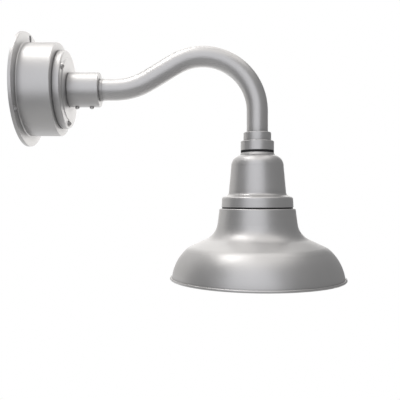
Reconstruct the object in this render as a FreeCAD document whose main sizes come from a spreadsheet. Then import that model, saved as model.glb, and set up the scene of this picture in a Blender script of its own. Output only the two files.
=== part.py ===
"""Gooseneck wall sconce: a round wall box, a swan-necked arm and a bell shade.

Lengths are millimetres and angles are degrees.  The origin is the centre of the
wall flange's back face, +X points out of the wall along the hub, and +Z is up.
The arm lies in the XZ plane.  Everything that hangs under the arm is turned about
one vertical axis, which stands at the arm's reach from the wall.
"""
import FreeCAD, Part
import math
import os
import Sketcher

# Driving sizes.  Each one can be changed by itself.
SIZES = {
    # Wall housing: flange and drum in one casting, open towards the wall.
    "flange_width": 12.3,
    "flange_thick": 4.0,
    "flange_edge_round": 1.2,
    "drum_radius": 54.2,
    "drum_depth": 41.2,
    "drum_wall": 3.0,
    "drum_front_thick": 3.5,
    "drum_edge_round": 1.5,
    "drum_foot_round": 1.3,
    "drum_opening_margin": 0.4,
    "wall_hole_margin": 5.8,
    "wall_hole_radius": 4.25,
    "wall_hole_count": 3,
    "rabbet_width": 3.7,
    "rabbet_depth": 2.0,
    "seal_slack": 0.1,
    # Front cover, with a raised middle that the hub stands on.
    "cover_seal_thick": 0.8,
    "cover_seal_inset": 0.6,
    "cover_setback": 8.8,
    "cover_height": 8.5,
    "cover_edge_round": 2.0,
    "cover_front_thick": 3.5,
    "cover_lip_wall": 3.3,
    "cover_lip_length": 3.3,
    "cover_lip_clearance": 0.2,
    "plateau_margin": 0.1,
    "plateau_step": 0.8,
    "cover_screw_inset": 5.6,
    "cover_screw_count": 3,
    "cover_screw_length": 14.0,
    "cover_boss_radius": 4.4,
    "cover_boss_length": 9.0,
    # One size of machine screw holds the cover, the carrier, the driver and the shade.
    "screw_radius": 2.0,
    "screw_clearance": 0.05,
    "head_radius": 3.5,
    "head_rim": 1.0,
    "head_dome": 2.0,
    # Hub that holds the arm, and what fastens it through the cover.
    "hub_seal_thick": 0.5,
    "hub_seal_inset": 0.4,
    "hub_wall": 7.75,
    "hub_length": 35.7,
    "hub_edge_round": 0.8,
    "nipple_wall": 4.5,
    "nipple_reach": 12.5,
    "nipple_clearance": 0.1,
    "hub_washer_width": 7.0,
    "washer_thick": 1.2,
    "hub_nut_width": 8.4,
    "hub_nut_thick": 5.0,
    "set_screw_radius": 2.5,
    "set_screw_first": 8.7,
    "set_screw_spacing": 17.2,
    "set_screw_count": 2,
    "set_screw_proud": 2.4,
    "set_screw_edge": 0.7,
    # Arm tube: straight out of the hub, up, over the crest and straight down.
    "tube_radius": 12.5,
    "tube_wall": 2.0,
    "tube_tail": 4.5,
    "running_clearance": 0.05,
    "straight_out": 16.8,
    "rise_bend_radius": 77.0,
    "rise_angle": 31.3,
    "drop_bend_radius": 64.3,
    "arm_reach": 272.2,
    "collar_drop": 50.4,
    "tube_socket_depth": 12.0,
    # What keeps the arm in the hub while it turns.
    "thrust_gap": 0.3,
    "thrust_washer_thick": 1.0,
    "clip_thick": 1.2,
    "clip_groove_depth": 0.8,
    "clip_width": 3.5,
    "clip_mouth": 6.0,
    "stop_ring_width": 3.2,
    "stop_ring_wall": 0.7,
    "seat_clearance": 0.03,
    "grommet_flange_thick": 1.5,
    "grommet_plug_length": 4.0,
    # Stepped collar on the tube's lower end.
    "collar_wall": 3.8,
    "collar_upper_height": 10.2,
    "collar_step_width": 3.3,
    "collar_lower_height": 11.0,
    "collar_chamfer": 0.6,
    "spigot_radius": 13.5,
    "spigot_bore_radius": 9.0,
    "spigot_length": 17.5,
    "spigot_clearance": 0.1,
    "collar_seal_thick": 2.8,
    "hood_washer_width": 5.5,
    "hood_nut_width": 7.3,
    "hood_nut_thick": 6.0,
    # Hood: a cast dome with a ring at its foot, above the shade.
    "hood_height": 64.0,
    "hood_wall": 2.5,
    "hood_cap_thick": 5.0,
    "hood_cap_inset": 0.2,
    "brow_width": 1.4,
    "brow_drop": 2.9,
    "dome_inset": 2.8,
    "dome_drop": 16.4,
    "dome_round": 13.4,
    "foot_inset": 8.6,
    "foot_drop": 47.0,
    "foot_round": 4.5,
    "ledge_inner_inset": 6.1,
    "ledge_inner_drop": 50.4,
    "ledge_inset": 3.4,
    "ledge_drop": 51.6,
    "ledge_round": 3.4,
    "ring_top_inset": 0.5,
    "ring_top_drop": 54.8,
    "ring_inset": 2.6,
    "ring_wall": 3.5,
    "hood_inner_round": 9.0,
    "shade_screw_inset": 8.8,
    "shade_screw_count": 3,
    "shade_screw_length": 14.0,
    "hood_boss_radius": 5.6,
    "hood_boss_length": 12.0,
    "hood_seal_thick": 1.6,
    "hood_seal_inset": 0.8,
    "hood_seal_margin": 0.5,
    # Shade: one spun shell with a rolled bead round its rim.
    "shade_wall": 1.5,
    "shade_hole_radius": 27.5,
    "neck_radius": 44.9,
    "neck_top_round": 2.0,
    "neck_length": 18.1,
    "neck_taper": 7.5,
    "sweep_round": 23.3,
    "slope_angle": 24.7,
    "shoulder_round": 23.0,
    "shoulder_angle": 44.0,
    "skirt_round": 53.7,
    "lip_angle": 82.6,
    "rim_radius": 103.0,
    "bead_radius": 1.5,
    "bead_overhang": 0.7,
    "bead_drop": 1.0,
    # Light module clamped under the shade's top: heat sink, board, reflector and lens.
    "sink_inset": 4.4,
    "sink_base_thick": 5.0,
    "sink_skirt_wall": 3.0,
    "sink_skirt_length": 12.0,
    "sink_core_radius": 8.0,
    "fin_margin": 1.5,
    "fin_thick": 1.8,
    "fin_height": 23.5,
    "fin_count": 12,
    "board_radius": 25.0,
    "board_thick": 1.6,
    "chip_width": 3.0,
    "chip_thick": 0.7,
    "inner_chip_place": 9.0,
    "inner_chip_count": 6,
    "outer_chip_place": 18.0,
    "outer_chip_count": 12,
    "reflector_throat_radius": 21.8,
    "reflector_mouth_inset": 1.1,
    "reflector_wall": 1.0,
    "reflector_gap": 0.3,
    "lens_inset": 0.9,
    "lens_thick": 2.5,
    "lens_seal_thick": 0.6,
    "lens_ring_wall": 1.6,
    "lens_ring_gap": 0.2,
    "lens_ring_lip_thick": 1.5,
    "lens_ring_lip_width": 4.0,
    "lens_ring_overlap": 5.0,
    "lens_screw_radius": 1.25,
    "lens_screw_head_radius": 2.2,
    "lens_screw_head_height": 1.0,
    "lens_screw_length": 3.0,
    "lens_screw_count": 3,
    "lens_screw_height": 2.6,
    # Cable through the arm, and its joint to the driver's output on the hub's axis.
    "cable_radius": 2.5,
    "cable_clearance": 0.1,
    "cable_tail": 4.0,
    "sink_grommet_wall": 0.8,
    "sink_grommet_depth": 6.0,
    "sink_grommet_flange_radius": 5.0,
    "splice_radius": 4.2,
    "splice_length": 9.0,
    "splice_gap": 0.3,
    "output_lead_radius": 1.8,
    "output_lead_setback": 4.7,
    # Carrier plate across the back of the drum, with the electrical parts on it.
    "carrier_setback": 5.0,
    "carrier_thick": 1.5,
    "carrier_gap": 0.7,
    "carrier_hole_radius": 11.0,
    "carrier_screw_inset": 5.2,
    "carrier_screw_length": 10.0,
    "carrier_boss_radius": 5.6,
    "driver_width": 54.0,
    "driver_height": 24.0,
    "driver_front_gap": 0.2,
    "driver_rim_gap": 10.5,
    "driver_corner_round": 2.0,
    "driver_ear_reach": 7.5,
    "driver_ear_height": 11.0,
    "driver_ear_thick": 2.0,
    "driver_screw_length": 6.0,
    "terminal_width": 40.0,
    "terminal_height": 14.0,
    "terminal_depth": 14.0,
    "terminal_rim_gap": 16.5,
    "pole_pitch": 9.0,
    "pole_count": 4,
    "pole_well_radius": 2.6,
    "pole_well_depth": 6.0,
    "lead_hole_radius": 1.6,
    "lead_hole_depth": 4.0,
    "lead_height": 2.1,
    "lead_radius": 1.2,
    "lead_bend_radius": 16.0,
    "lead_bend_angle": 37.0,
    "ground_screw_side": 28.0,
    "ground_screw_rise": 6.0,
    "ground_head_corner_radius": 4.0,
    "ground_head_thick": 3.0,
    "lug_radius": 5.0,
    "lug_clearance": 0.2,
    "lug_thick": 1.0,
    "lug_barrel_radius": 1.9,
    "lug_barrel_length": 4.0,
    "earth_bend_radius": 5.0,
}

# Places and sizes that follow from the driving ones.
PLACES = {
    "flange_radius": "size.drum_radius + size.flange_width",
    "wall_hole_place": "size.drum_radius + size.wall_hole_margin",
    "drum_inner_radius": "size.drum_radius - size.drum_wall",
    "rabbet_radius": "drum_inner_radius + size.rabbet_width",
    "drum_front_back": "size.drum_depth - size.drum_front_thick",
    "cover_radius": "size.drum_radius - size.cover_setback",
    "cover_screw_place": "cover_radius - size.cover_screw_inset",
    "drum_opening_radius": "cover_screw_place - size.cover_boss_radius"
                 " - size.drum_opening_margin",
    "cover_back": "size.drum_depth + size.cover_seal_thick",
    "cover_face": "cover_back + size.cover_height",
    "cover_rim_face": "cover_face - size.plateau_step",
    "cover_inside": "cover_face - size.cover_front_thick",
    "plateau_radius": "cover_screw_place - size.head_radius - size.plateau_step"
                 " - size.plateau_margin",
    "cover_lip_end": "cover_back - size.cover_lip_length",
    "cover_lip_radius": "drum_opening_radius - size.cover_lip_clearance",
    "cover_hollow_radius": "cover_lip_radius - size.cover_lip_wall",
    "hub_radius": "size.tube_radius + size.hub_wall",
    "nipple_radius": "size.tube_radius + size.nipple_wall",
    "nipple_hole_radius": "nipple_radius + size.nipple_clearance",
    "screw_hole_radius": "size.screw_radius + size.screw_clearance",
    "hub_back": "cover_face + size.hub_seal_thick",
    "hub_face": "hub_back + size.hub_length",
    "hub_bore_radius": "size.tube_radius + size.running_clearance",
    "nipple_end": "hub_back - size.nipple_reach",
    "hub_washer_radius": "nipple_radius + size.hub_washer_width",
    "hub_nut_corner_radius": "nipple_radius + size.hub_nut_width",
    "hub_washer_face": "cover_inside - size.washer_thick",
    "hub_nut_back": "hub_washer_face - size.hub_nut_thick",
    "set_screw_start": "hub_back + size.set_screw_first",
    "set_screw_tip": "hub_bore_radius",
    "set_screw_end": "hub_radius + size.set_screw_proud",
    # Arm, from its end inside the drum to its end inside the collar.
    "stop_ring_radius": "size.tube_radius + size.stop_ring_wall",
    "clip_radius": "size.tube_radius + size.clip_width",
    "thrust_face": "nipple_end - size.thrust_gap",
    "clip_face": "thrust_face - size.thrust_washer_thick",
    "clip_back": "clip_face - size.clip_thick",
    "groove_radius": "size.tube_radius - size.clip_groove_depth",
    "tube_start": "nipple_end - size.tube_tail",
    "tube_inner_radius": "size.tube_radius - size.tube_wall",
    "stop_ring_back": "hub_face + size.thrust_gap",
    "bend_start": "hub_face + size.straight_out",
    "rise_end_x": "bend_start + size.rise_bend_radius * sin(size.rise_angle)",
    "rise_end_z": "size.rise_bend_radius * (1 - cos(size.rise_angle))",
    "crest_start_x": "size.arm_reach - size.drop_bend_radius * (1 + sin(size.rise_angle))",
    "crest_start_z": "rise_end_z + (crest_start_x - rise_end_x) * tan(size.rise_angle)",
    "drop_end_z": "crest_start_z - size.drop_bend_radius * cos(size.rise_angle)",
    "collar_upper_radius": "size.tube_radius + size.collar_wall",
    "collar_lower_radius": "collar_upper_radius + size.collar_step_width",
    "collar_top": "-size.collar_drop",
    "collar_step": "collar_top - size.collar_upper_height",
    "collar_foot": "collar_step - size.collar_lower_height",
    "tube_end": "collar_top - size.tube_socket_depth",
    "spigot_end": "collar_foot - size.spigot_length",
    "spigot_hole_radius": "size.spigot_radius + size.spigot_clearance",
    # Hood, counted down from its top.
    "ring_radius": "size.neck_radius - size.ring_inset",
    "ring_top_radius": "ring_radius - size.ring_top_inset",
    "ledge_radius": "ring_radius - size.ledge_inset",
    "ledge_inner_radius": "ring_radius - size.ledge_inner_inset",
    "foot_radius": "ring_radius - size.foot_inset",
    "dome_radius": "foot_radius - size.dome_inset",
    "hood_cap_radius": "collar_lower_radius - size.hood_cap_inset",
    "brow_radius": "hood_cap_radius + size.brow_width",
    "hood_washer_radius": "size.spigot_radius + size.hood_washer_width",
    "hood_nut_corner_radius": "size.spigot_radius + size.hood_nut_width",
    "shade_screw_place": "ring_radius - size.shade_screw_inset",
    "hood_seal_bore_radius": "size.shade_hole_radius + size.hood_seal_margin",
    "hood_top": "collar_foot - size.collar_seal_thick",
    "hood_inside": "hood_top - size.hood_cap_thick",
    "hood_washer_foot": "hood_inside - size.washer_thick",
    "hood_nut_foot": "hood_washer_foot - size.hood_nut_thick",
    "hood_foot": "hood_top - size.hood_height",
    "dome_inner_radius": "dome_radius - size.hood_wall",
    "foot_inner_radius": "foot_radius - size.hood_wall",
    "ring_inner_radius": "ring_radius - size.ring_wall",
    "ledge_inner_z": "hood_top - size.ledge_drop - size.hood_wall",
    # Shade: where each stretch of its outer face ends.
    "shade_top": "hood_foot - size.hood_seal_thick",
    "shade_under": "shade_top - size.shade_wall",
    "neck_end_z": "shade_top - size.neck_length",
    "neck_end_r": "size.neck_radius + (size.neck_length - size.neck_top_round)"
                  " * tan(size.neck_taper)",
    "sweep_end_z": "neck_end_z + size.sweep_round * (sin(size.neck_taper)"
                   " - cos(size.slope_angle))",
    "sweep_end_r": "neck_end_r + size.sweep_round * (cos(size.neck_taper)"
                   " - sin(size.slope_angle))",
    "skirt_end_r": "size.rim_radius - size.bead_radius - size.bead_overhang",
    "shoulder_end_r": "skirt_end_r - size.skirt_round"
                      " * (sin(size.lip_angle) - sin(size.shoulder_angle))",
    "shoulder_start_r": "shoulder_end_r - size.shoulder_round"
                        " * (sin(size.shoulder_angle) - sin(size.slope_angle))",
    "shoulder_start_z": "sweep_end_z - (shoulder_start_r - sweep_end_r)"
                        " * tan(size.slope_angle)",
    "shoulder_end_z": "shoulder_start_z - size.shoulder_round"
                      " * (cos(size.slope_angle) - cos(size.shoulder_angle))",
    "skirt_end_z": "shoulder_end_z - size.skirt_round"
                   " * (cos(size.shoulder_angle) - cos(size.lip_angle))",
    "bead_place_r": "size.rim_radius - size.bead_radius",
    "bead_place_z": "skirt_end_z - size.bead_drop",
    # Light module.
    "sink_radius": "size.neck_radius - size.sink_inset",
    "fin_radius": "size.shade_hole_radius - size.fin_margin",
    "sink_face": "shade_under - size.sink_base_thick",
    "skirt_foot": "sink_face - size.sink_skirt_length",
    "skirt_inner_radius": "sink_radius - size.sink_skirt_wall",
    "reflector_mouth_radius": "skirt_inner_radius - size.reflector_mouth_inset",
    "lens_radius": "sink_radius - size.lens_inset",
    "lens_ring_lip_radius": "sink_radius - size.lens_ring_lip_width",
    "fin_top": "shade_under + size.fin_height",
    "board_face": "sink_face - size.board_thick",
    "reflector_mouth": "skirt_foot + size.reflector_gap",
    "lens_top": "skirt_foot - size.lens_seal_thick",
    "lens_foot": "lens_top - size.lens_thick",
    "lens_ring_foot": "lens_foot - size.lens_ring_lip_thick",
    "lens_ring_top": "skirt_foot + size.lens_ring_overlap",
    "lens_ring_bore_radius": "sink_radius + size.lens_ring_gap",
    "lens_ring_radius": "lens_ring_bore_radius + size.lens_ring_wall",
    "lens_screw_z": "skirt_foot + size.lens_screw_height",
    "cable_hole_radius": "size.cable_radius + size.cable_clearance",
    "sink_bore_radius": "cable_hole_radius + size.sink_grommet_wall",
    # Inside the drum.
    "cable_start": "tube_start - size.cable_tail",
    "splice_face": "cable_start - size.splice_gap",
    "splice_back": "splice_face - size.splice_length",
    "carrier_face": "size.carrier_setback + size.carrier_thick",
    "carrier_radius": "drum_inner_radius - size.carrier_gap",
    "carrier_screw_place": "drum_inner_radius - size.carrier_screw_inset",
    "output_lead_place": "carrier_face + size.output_lead_setback",
    "output_lead_bend": "splice_back - output_lead_place",
    "driver_drop": "carrier_radius - size.driver_rim_gap - size.driver_height",
    "driver_depth": "drum_front_back - size.cover_boss_length"
                 " - size.driver_front_gap - carrier_face",
    "driver_foot": "-driver_drop - size.driver_height",
    "driver_middle": "-driver_drop - size.driver_height / 2",
    "driver_screw_side": "(size.driver_width + size.driver_ear_reach) / 2",
    "terminal_rise": "carrier_radius - size.terminal_rim_gap - size.terminal_height",
    "terminal_top": "terminal_rise + size.terminal_height",
    "lead_level": "carrier_face + size.lead_height",
    "lead_shift": "2 * size.lead_bend_radius * (1 - cos(size.lead_bend_angle))",
    "lead_bend_drop": "size.lead_bend_radius * sin(size.lead_bend_angle)",
    "lead_span_middle": "(terminal_rise - driver_drop) / 2",
}


def write_sheet(doc, name, cells):
    """Put each value in a sheet beside its name, and give the cell that alias."""
    sheet = doc.addObject("Spreadsheet::Sheet", name)
    for row, (alias, content) in enumerate(cells.items(), start=1):
        sheet.set(f"A{row}", alias)
        sheet.set(f"B{row}", str(content))
        sheet.setAlias(f"B{row}", alias)
    doc.recompute()
    return sheet


def value(doc, expression):
    """The number that an expression on the sheets gives now."""
    result = doc.getObject("size").evalExpression(expression)
    return float(getattr(result, "Value", result))


def new_body(doc, label, on_lamp_axis=False):
    """A body with its own label.  The lamp's pieces are placed on the lamp's axis."""
    body = doc.addObject("PartDesign::Body", label)
    body.Label = label
    if on_lamp_axis:
        body.setExpression("Placement.Base.x", "size.arm_reach")
    return body


def origin_feature(body, role):
    for feature in body.Origin.OriginFeatures:
        if feature.Role == role:
            return feature
    raise ValueError(role)


def arc_centre(start, end, radius, turn):
    """Centre of the short arc from start to end that turns "left" or "right"."""
    chord_x = end[0] - start[0]
    chord_y = end[1] - start[1]
    chord = math.hypot(chord_x, chord_y)
    height = math.sqrt(max(radius * radius - chord * chord / 4, 0.0))
    side = height / chord if turn == "left" else -height / chord
    middle_x = (start[0] + end[0]) / 2
    middle_y = (start[1] + end[1]) / 2
    return middle_x - chord_y * side, middle_y + chord_x * side


def draw_corner(sketch, geometry, position, corner):
    """Tie one end of a line or arc to its two expressions."""
    for kind, expression in zip(("DistanceX", "DistanceY"), corner[:2]):
        number = value(sketch.Document, expression)
        index = sketch.addConstraint(Sketcher.Constraint(kind, geometry, position, number))
        sketch.setExpression(f"Constraints[{index}]", expression)


def draw_run(sketch, corners, closed):
    """Draw lines and arcs from corner to corner.

    A corner is (across, up), and the run that ends there is a line.  Where it is
    an arc, the corner also holds its radius and "left" or "right".
    """
    doc = sketch.Document
    places = [(value(doc, corner[0]), value(doc, corner[1])) for corner in corners]
    ends = list(range(1, len(corners))) + ([0] if closed else [])
    drawn = []
    for end in ends:
        begin = places[end - 1]
        finish = places[end]
        first = FreeCAD.Vector(begin[0], begin[1], 0)
        last = FreeCAD.Vector(finish[0], finish[1], 0)
        corner = corners[end]
        if len(corner) == 2:
            index = sketch.addGeometry(Part.LineSegment(first, last), False)
            drawn.append((index, 1, 2))
            continue
        radius = value(doc, corner[2])
        centre = arc_centre(begin, finish, radius, corner[3])
        angles = [math.atan2(p[1] - centre[1], p[0] - centre[0]) for p in (begin, finish)]
        if corner[3] == "right":
            angles.reverse()
        circle = Part.Circle(
            FreeCAD.Vector(centre[0], centre[1], 0), FreeCAD.Vector(0, 0, 1), radius
        )
        index = sketch.addGeometry(Part.ArcOfCircle(circle, angles[0], angles[1]), False)
        limit = sketch.addConstraint(Sketcher.Constraint("Radius", index, radius))
        sketch.setExpression(f"Constraints[{limit}]", corner[2])
        drawn.append((index, 1, 2) if corner[3] == "left" else (index, 2, 1))
    for number, (index, begin, finish) in enumerate(drawn):
        last_open_run = not closed and number == len(drawn) - 1
        following = drawn[(number + 1) % len(drawn)]
        draw_corner(sketch, index, begin, corners[ends[number] - 1])
        if last_open_run:
            draw_corner(sketch, index, finish, corners[ends[number]])
        else:
            sketch.addConstraint(
                Sketcher.Constraint("Coincident", index, finish, following[0], following[1])
            )


def draw_circle(sketch, across, up, radius):
    """Draw a circle whose centre and radius are tied to three expressions."""
    doc = sketch.Document
    centre = FreeCAD.Vector(value(doc, across), value(doc, up), 0)
    size_now = value(doc, radius)
    circle = Part.Circle(centre, FreeCAD.Vector(0, 0, 1), size_now)
    index = sketch.addGeometry(circle, False)
    limit = sketch.addConstraint(Sketcher.Constraint("Radius", index, size_now))
    sketch.setExpression(f"Constraints[{limit}]", radius)
    draw_corner(sketch, index, 3, (across, up))


def new_sketch(body, plane, outlines=(), circles=(), offset=None, path=None):
    """A sketch on one of the body's origin planes, moved along its normal by offset."""
    number = len([child for child in body.Group if child.isDerivedFrom("Sketcher::SketchObject")])
    sketch = body.newObject("Sketcher::SketchObject", f"{body.Label}_sketch_{number + 1}")
    sketch.AttachmentSupport = [(origin_feature(body, plane), "")]
    sketch.MapMode = "FlatFace"
    if offset is not None:
        sketch.setExpression("AttachmentOffset.Base.z", offset)
    for outline in outlines:
        draw_run(sketch, outline, closed=True)
    for across, up, radius in circles:
        draw_circle(sketch, across, up, radius)
    if path is not None:
        draw_run(sketch, path, closed=False)
    return sketch


def revolve(body, sketch, axis, kind="PartDesign::Revolution"):
    """Turn a sketch a full circle about "H_Axis", "V_Axis" or a drawn "Axis0"."""
    feature = body.newObject(kind, f"{body.Label}_turned")
    feature.Profile = sketch
    feature.ReferenceAxis = (sketch, [axis])
    feature.Angle = 360
    return feature


def extrude(body, sketch, length, kind="PartDesign::Pad", backwards=False):
    """Pad along the sketch plane's normal, or pocket against it; backwards flips both."""
    feature = body.newObject(kind, f"{body.Label}_{kind.split('::')[1].lower()}")
    feature.Profile = sketch
    feature.Type = "Length"
    feature.setExpression("Length", length)
    feature.Reversed = backwards
    return feature


def pocket(body, sketch, length, backwards=False):
    """Cut a sketch into the body, and check that the cut removes something."""
    body.Document.recompute()
    before = body.Shape.Volume
    feature = extrude(body, sketch, length, "PartDesign::Pocket", backwards)
    body.Document.recompute()
    if feature.Shape.Volume >= before:
        raise RuntimeError(f"{body.Label}: {feature.Name} cuts nothing")
    return feature


def around(body, features, axis, count):
    """Repeat features evenly round one of the body's axes."""
    body.Document.recompute()
    pattern = body.newObject("PartDesign::PolarPattern", f"{body.Label}_round")
    pattern.Originals = features
    pattern.Axis = (origin_feature(body, axis), [""])
    pattern.Angle = 360
    pattern.setExpression("Occurrences", count)
    body.Tip = pattern
    return pattern


def in_line(body, features, axis, spacing, count):
    """Repeat features at equal steps along one of the body's axes."""
    body.Document.recompute()
    pattern = body.newObject("PartDesign::LinearPattern", f"{body.Label}_row")
    pattern.Originals = features
    pattern.Direction = (origin_feature(body, axis), [""])
    pattern.setExpression("Length", f"({spacing}) * ({count} - 1)")
    pattern.setExpression("Occurrences", count)
    body.Tip = pattern
    return pattern


def mirrored(body, features, plane):
    """Repeat features on the other side of one of the body's planes."""
    body.Document.recompute()
    pattern = body.newObject("PartDesign::Mirrored", f"{body.Label}_mirrored")
    pattern.Originals = features
    pattern.MirrorPlane = (origin_feature(body, plane), [""])
    body.Tip = pattern
    return pattern


def rectangle(low_across, low_up, high_across, high_up):
    return [
        (low_across, low_up),
        (high_across, low_up),
        (high_across, high_up),
        (low_across, high_up),
    ]


def hexagon(corner_radius, across="0", up="0"):
    """Outline of a hexagon whose corners lie on a circle of the given radius."""
    return [
        (f"{across} + {corner_radius} * cos({60 * corner})",
         f"{up} + {corner_radius} * sin({60 * corner})")
        for corner in range(6)
    ]


def ring(doc, label, plane, inner, outer, start, length, on_lamp_axis=False):
    """A flat ring: one padded sketch of two circles."""
    body = new_body(doc, label, on_lamp_axis)
    circles = [("0", "0", outer), ("0", "0", inner)]
    extrude(body, new_sketch(body, plane, circles=circles, offset=start), length)
    return body


def add_screw(body, plane, axis_line, seat, line, point, shank, head, offset=None):
    """A dome-headed screw, turned about a line that lies across or up its sketch.

    seat is where the head rests, line is where the axis stands, point is +1 or -1
    for the way the head looks, shank is (radius, length) and head is (radius, rim,
    dome), all as expressions.
    """
    outwards, inwards = ("+", "-") if point > 0 else ("-", "+")
    tip = f"{seat} {inwards} {shank[1]}"
    rim = f"{seat} {outwards} {head[1]}"
    crown = f"{rim} {outwards} {head[2]}"
    dome = f"({head[0]}^2 + {head[2]}^2) / (2 * {head[2]})"
    across = axis_line == "across"
    turn = "right" if (point > 0) == across else "left"
    steps = [
        (tip, line),
        (tip, f"{line} + {shank[0]}"),
        (seat, f"{line} + {shank[0]}"),
        (seat, f"{line} + {head[0]}"),
        (rim, f"{line} + {head[0]}"),
        (crown, line),
    ]
    corners = [step if across else (step[1], step[0]) for step in steps]
    corners[-1] += (dome, turn)
    sketch = new_sketch(body, plane, outlines=[corners], offset=offset)
    first, last = (
        FreeCAD.Vector(value(body.Document, corner[0]), value(body.Document, corner[1]), 0)
        for corner in (corners[0], corners[-1])
    )
    index = sketch.addGeometry(Part.LineSegment(first, last), True)
    draw_corner(sketch, index, 1, corners[0])
    draw_corner(sketch, index, 2, corners[-1])
    return revolve(body, sketch, "Axis0")


MACHINE_HEAD = ("size.head_radius", "size.head_rim", "size.head_dome")


# Wall side -------------------------------------------------------------------------


def make_wall_housing(doc):
    """Flange and drum in one casting, with wall holes, screw bosses and carrier posts."""
    body = new_body(doc, "wall_housing")
    outline = [
        ("0", "place.rabbet_radius"),
        ("0", "place.flange_radius"),
        ("size.flange_thick - size.flange_edge_round", "place.flange_radius"),
        ("size.flange_thick", "place.flange_radius - size.flange_edge_round",
         "size.flange_edge_round", "right"),
        ("size.flange_thick", "size.drum_radius + size.drum_foot_round"),
        ("size.flange_thick + size.drum_foot_round", "size.drum_radius",
         "size.drum_foot_round", "left"),
        ("size.drum_depth - size.drum_edge_round", "size.drum_radius"),
        ("size.drum_depth", "size.drum_radius - size.drum_edge_round",
         "size.drum_edge_round", "right"),
        ("size.drum_depth", "place.drum_opening_radius"),
        ("place.drum_front_back", "place.drum_opening_radius"),
        ("place.drum_front_back", "place.drum_inner_radius"),
        ("size.rabbet_depth", "place.drum_inner_radius"),
        ("size.rabbet_depth", "place.rabbet_radius"),
    ]
    revolve(body, new_sketch(body, "XZ_Plane", outlines=[outline]), "H_Axis")

    boss = [("0", "-place.cover_screw_place", "size.cover_boss_radius")]
    sketch = new_sketch(body, "YZ_Plane", circles=boss, offset="place.drum_front_back")
    screw_boss = extrude(body, sketch, "size.cover_boss_length", backwards=True)
    around(body, [screw_boss], "X_Axis", "size.cover_screw_count")

    post = [("place.carrier_screw_place", "0", "size.carrier_boss_radius")]
    sketch = new_sketch(body, "YZ_Plane", circles=post, offset="place.carrier_face")
    post_pad = extrude(body, sketch, "place.drum_front_back - place.carrier_face")
    mirrored(body, [post_pad], "XZ_Plane")

    hole = [("0", "place.wall_hole_place", "size.wall_hole_radius")]
    sketch = new_sketch(body, "YZ_Plane", circles=hole)
    wall_hole = pocket(body, sketch, "size.flange_thick", backwards=True)
    around(body, [wall_hole], "X_Axis", "size.wall_hole_count")

    tapping = [("0", "-place.cover_screw_place", "place.screw_hole_radius")]
    sketch = new_sketch(body, "YZ_Plane", circles=tapping, offset="size.drum_depth")
    tapped = pocket(body, sketch, "size.drum_front_thick + size.cover_boss_length")
    around(body, [tapped], "X_Axis", "size.cover_screw_count")

    tapping = [("place.carrier_screw_place", "0", "place.screw_hole_radius")]
    sketch = new_sketch(body, "YZ_Plane", circles=tapping, offset="place.carrier_face")
    tapped = pocket(body, sketch, "size.carrier_screw_length + size.screw_radius", True)
    mirrored(body, [tapped], "XZ_Plane")
    return body


def make_wall_gasket(doc):
    return ring(
        doc, "wall_gasket", "YZ_Plane", "place.drum_inner_radius",
        "place.rabbet_radius - size.seal_slack", "0", "size.rabbet_depth",
    )


def make_cover_gasket(doc):
    """Flat ring between the drum and its cover, with the cover screws' holes."""
    body = ring(
        doc, "cover_gasket", "YZ_Plane", "place.drum_opening_radius",
        "place.cover_radius - size.cover_seal_inset", "size.drum_depth",
        "size.cover_seal_thick",
    )
    hole = [("0", "-place.cover_screw_place", "place.screw_hole_radius")]
    sketch = new_sketch(body, "YZ_Plane", circles=hole, offset="place.cover_back")
    cut = pocket(body, sketch, "size.cover_seal_thick")
    around(body, [cut], "X_Axis", "size.cover_screw_count")
    return body


def make_front_cover(doc):
    """Round cover: rim, raised middle, hollow back and a lip that finds the drum."""
    body = new_body(doc, "front_cover")
    outline = [
        ("place.cover_back", "place.cover_radius"),
        ("place.cover_rim_face - size.cover_edge_round", "place.cover_radius"),
        ("place.cover_rim_face", "place.cover_radius - size.cover_edge_round",
         "size.cover_edge_round", "right"),
        ("place.cover_rim_face", "place.plateau_radius + size.plateau_step"),
        ("place.cover_face", "place.plateau_radius"),
        ("place.cover_face", "place.nipple_hole_radius"),
        ("place.cover_inside", "place.nipple_hole_radius"),
        ("place.cover_inside", "place.cover_hollow_radius"),
        ("place.cover_lip_end", "place.cover_hollow_radius"),
        ("place.cover_lip_end", "place.cover_lip_radius"),
        ("place.cover_back", "place.cover_lip_radius"),
    ]
    revolve(body, new_sketch(body, "XZ_Plane", outlines=[outline]), "H_Axis")
    hole = [("0", "-place.cover_screw_place", "place.screw_hole_radius")]
    sketch = new_sketch(body, "YZ_Plane", circles=hole, offset="place.cover_rim_face")
    cut = pocket(body, sketch, "size.cover_height")
    around(body, [cut], "X_Axis", "size.cover_screw_count")
    return body


def make_cover_screws(doc):
    body = new_body(doc, "cover_screws")
    screw = add_screw(
        body, "XZ_Plane", "across", "place.cover_rim_face", "-place.cover_screw_place", 1,
        ("size.screw_radius", "size.cover_screw_length"), MACHINE_HEAD,
    )
    around(body, [screw], "X_Axis", "size.cover_screw_count")
    return body


def make_hub_gasket(doc):
    return ring(
        doc, "hub_gasket", "YZ_Plane", "place.nipple_hole_radius",
        "place.hub_radius - size.hub_seal_inset", "place.cover_face", "size.hub_seal_thick",
    )


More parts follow.
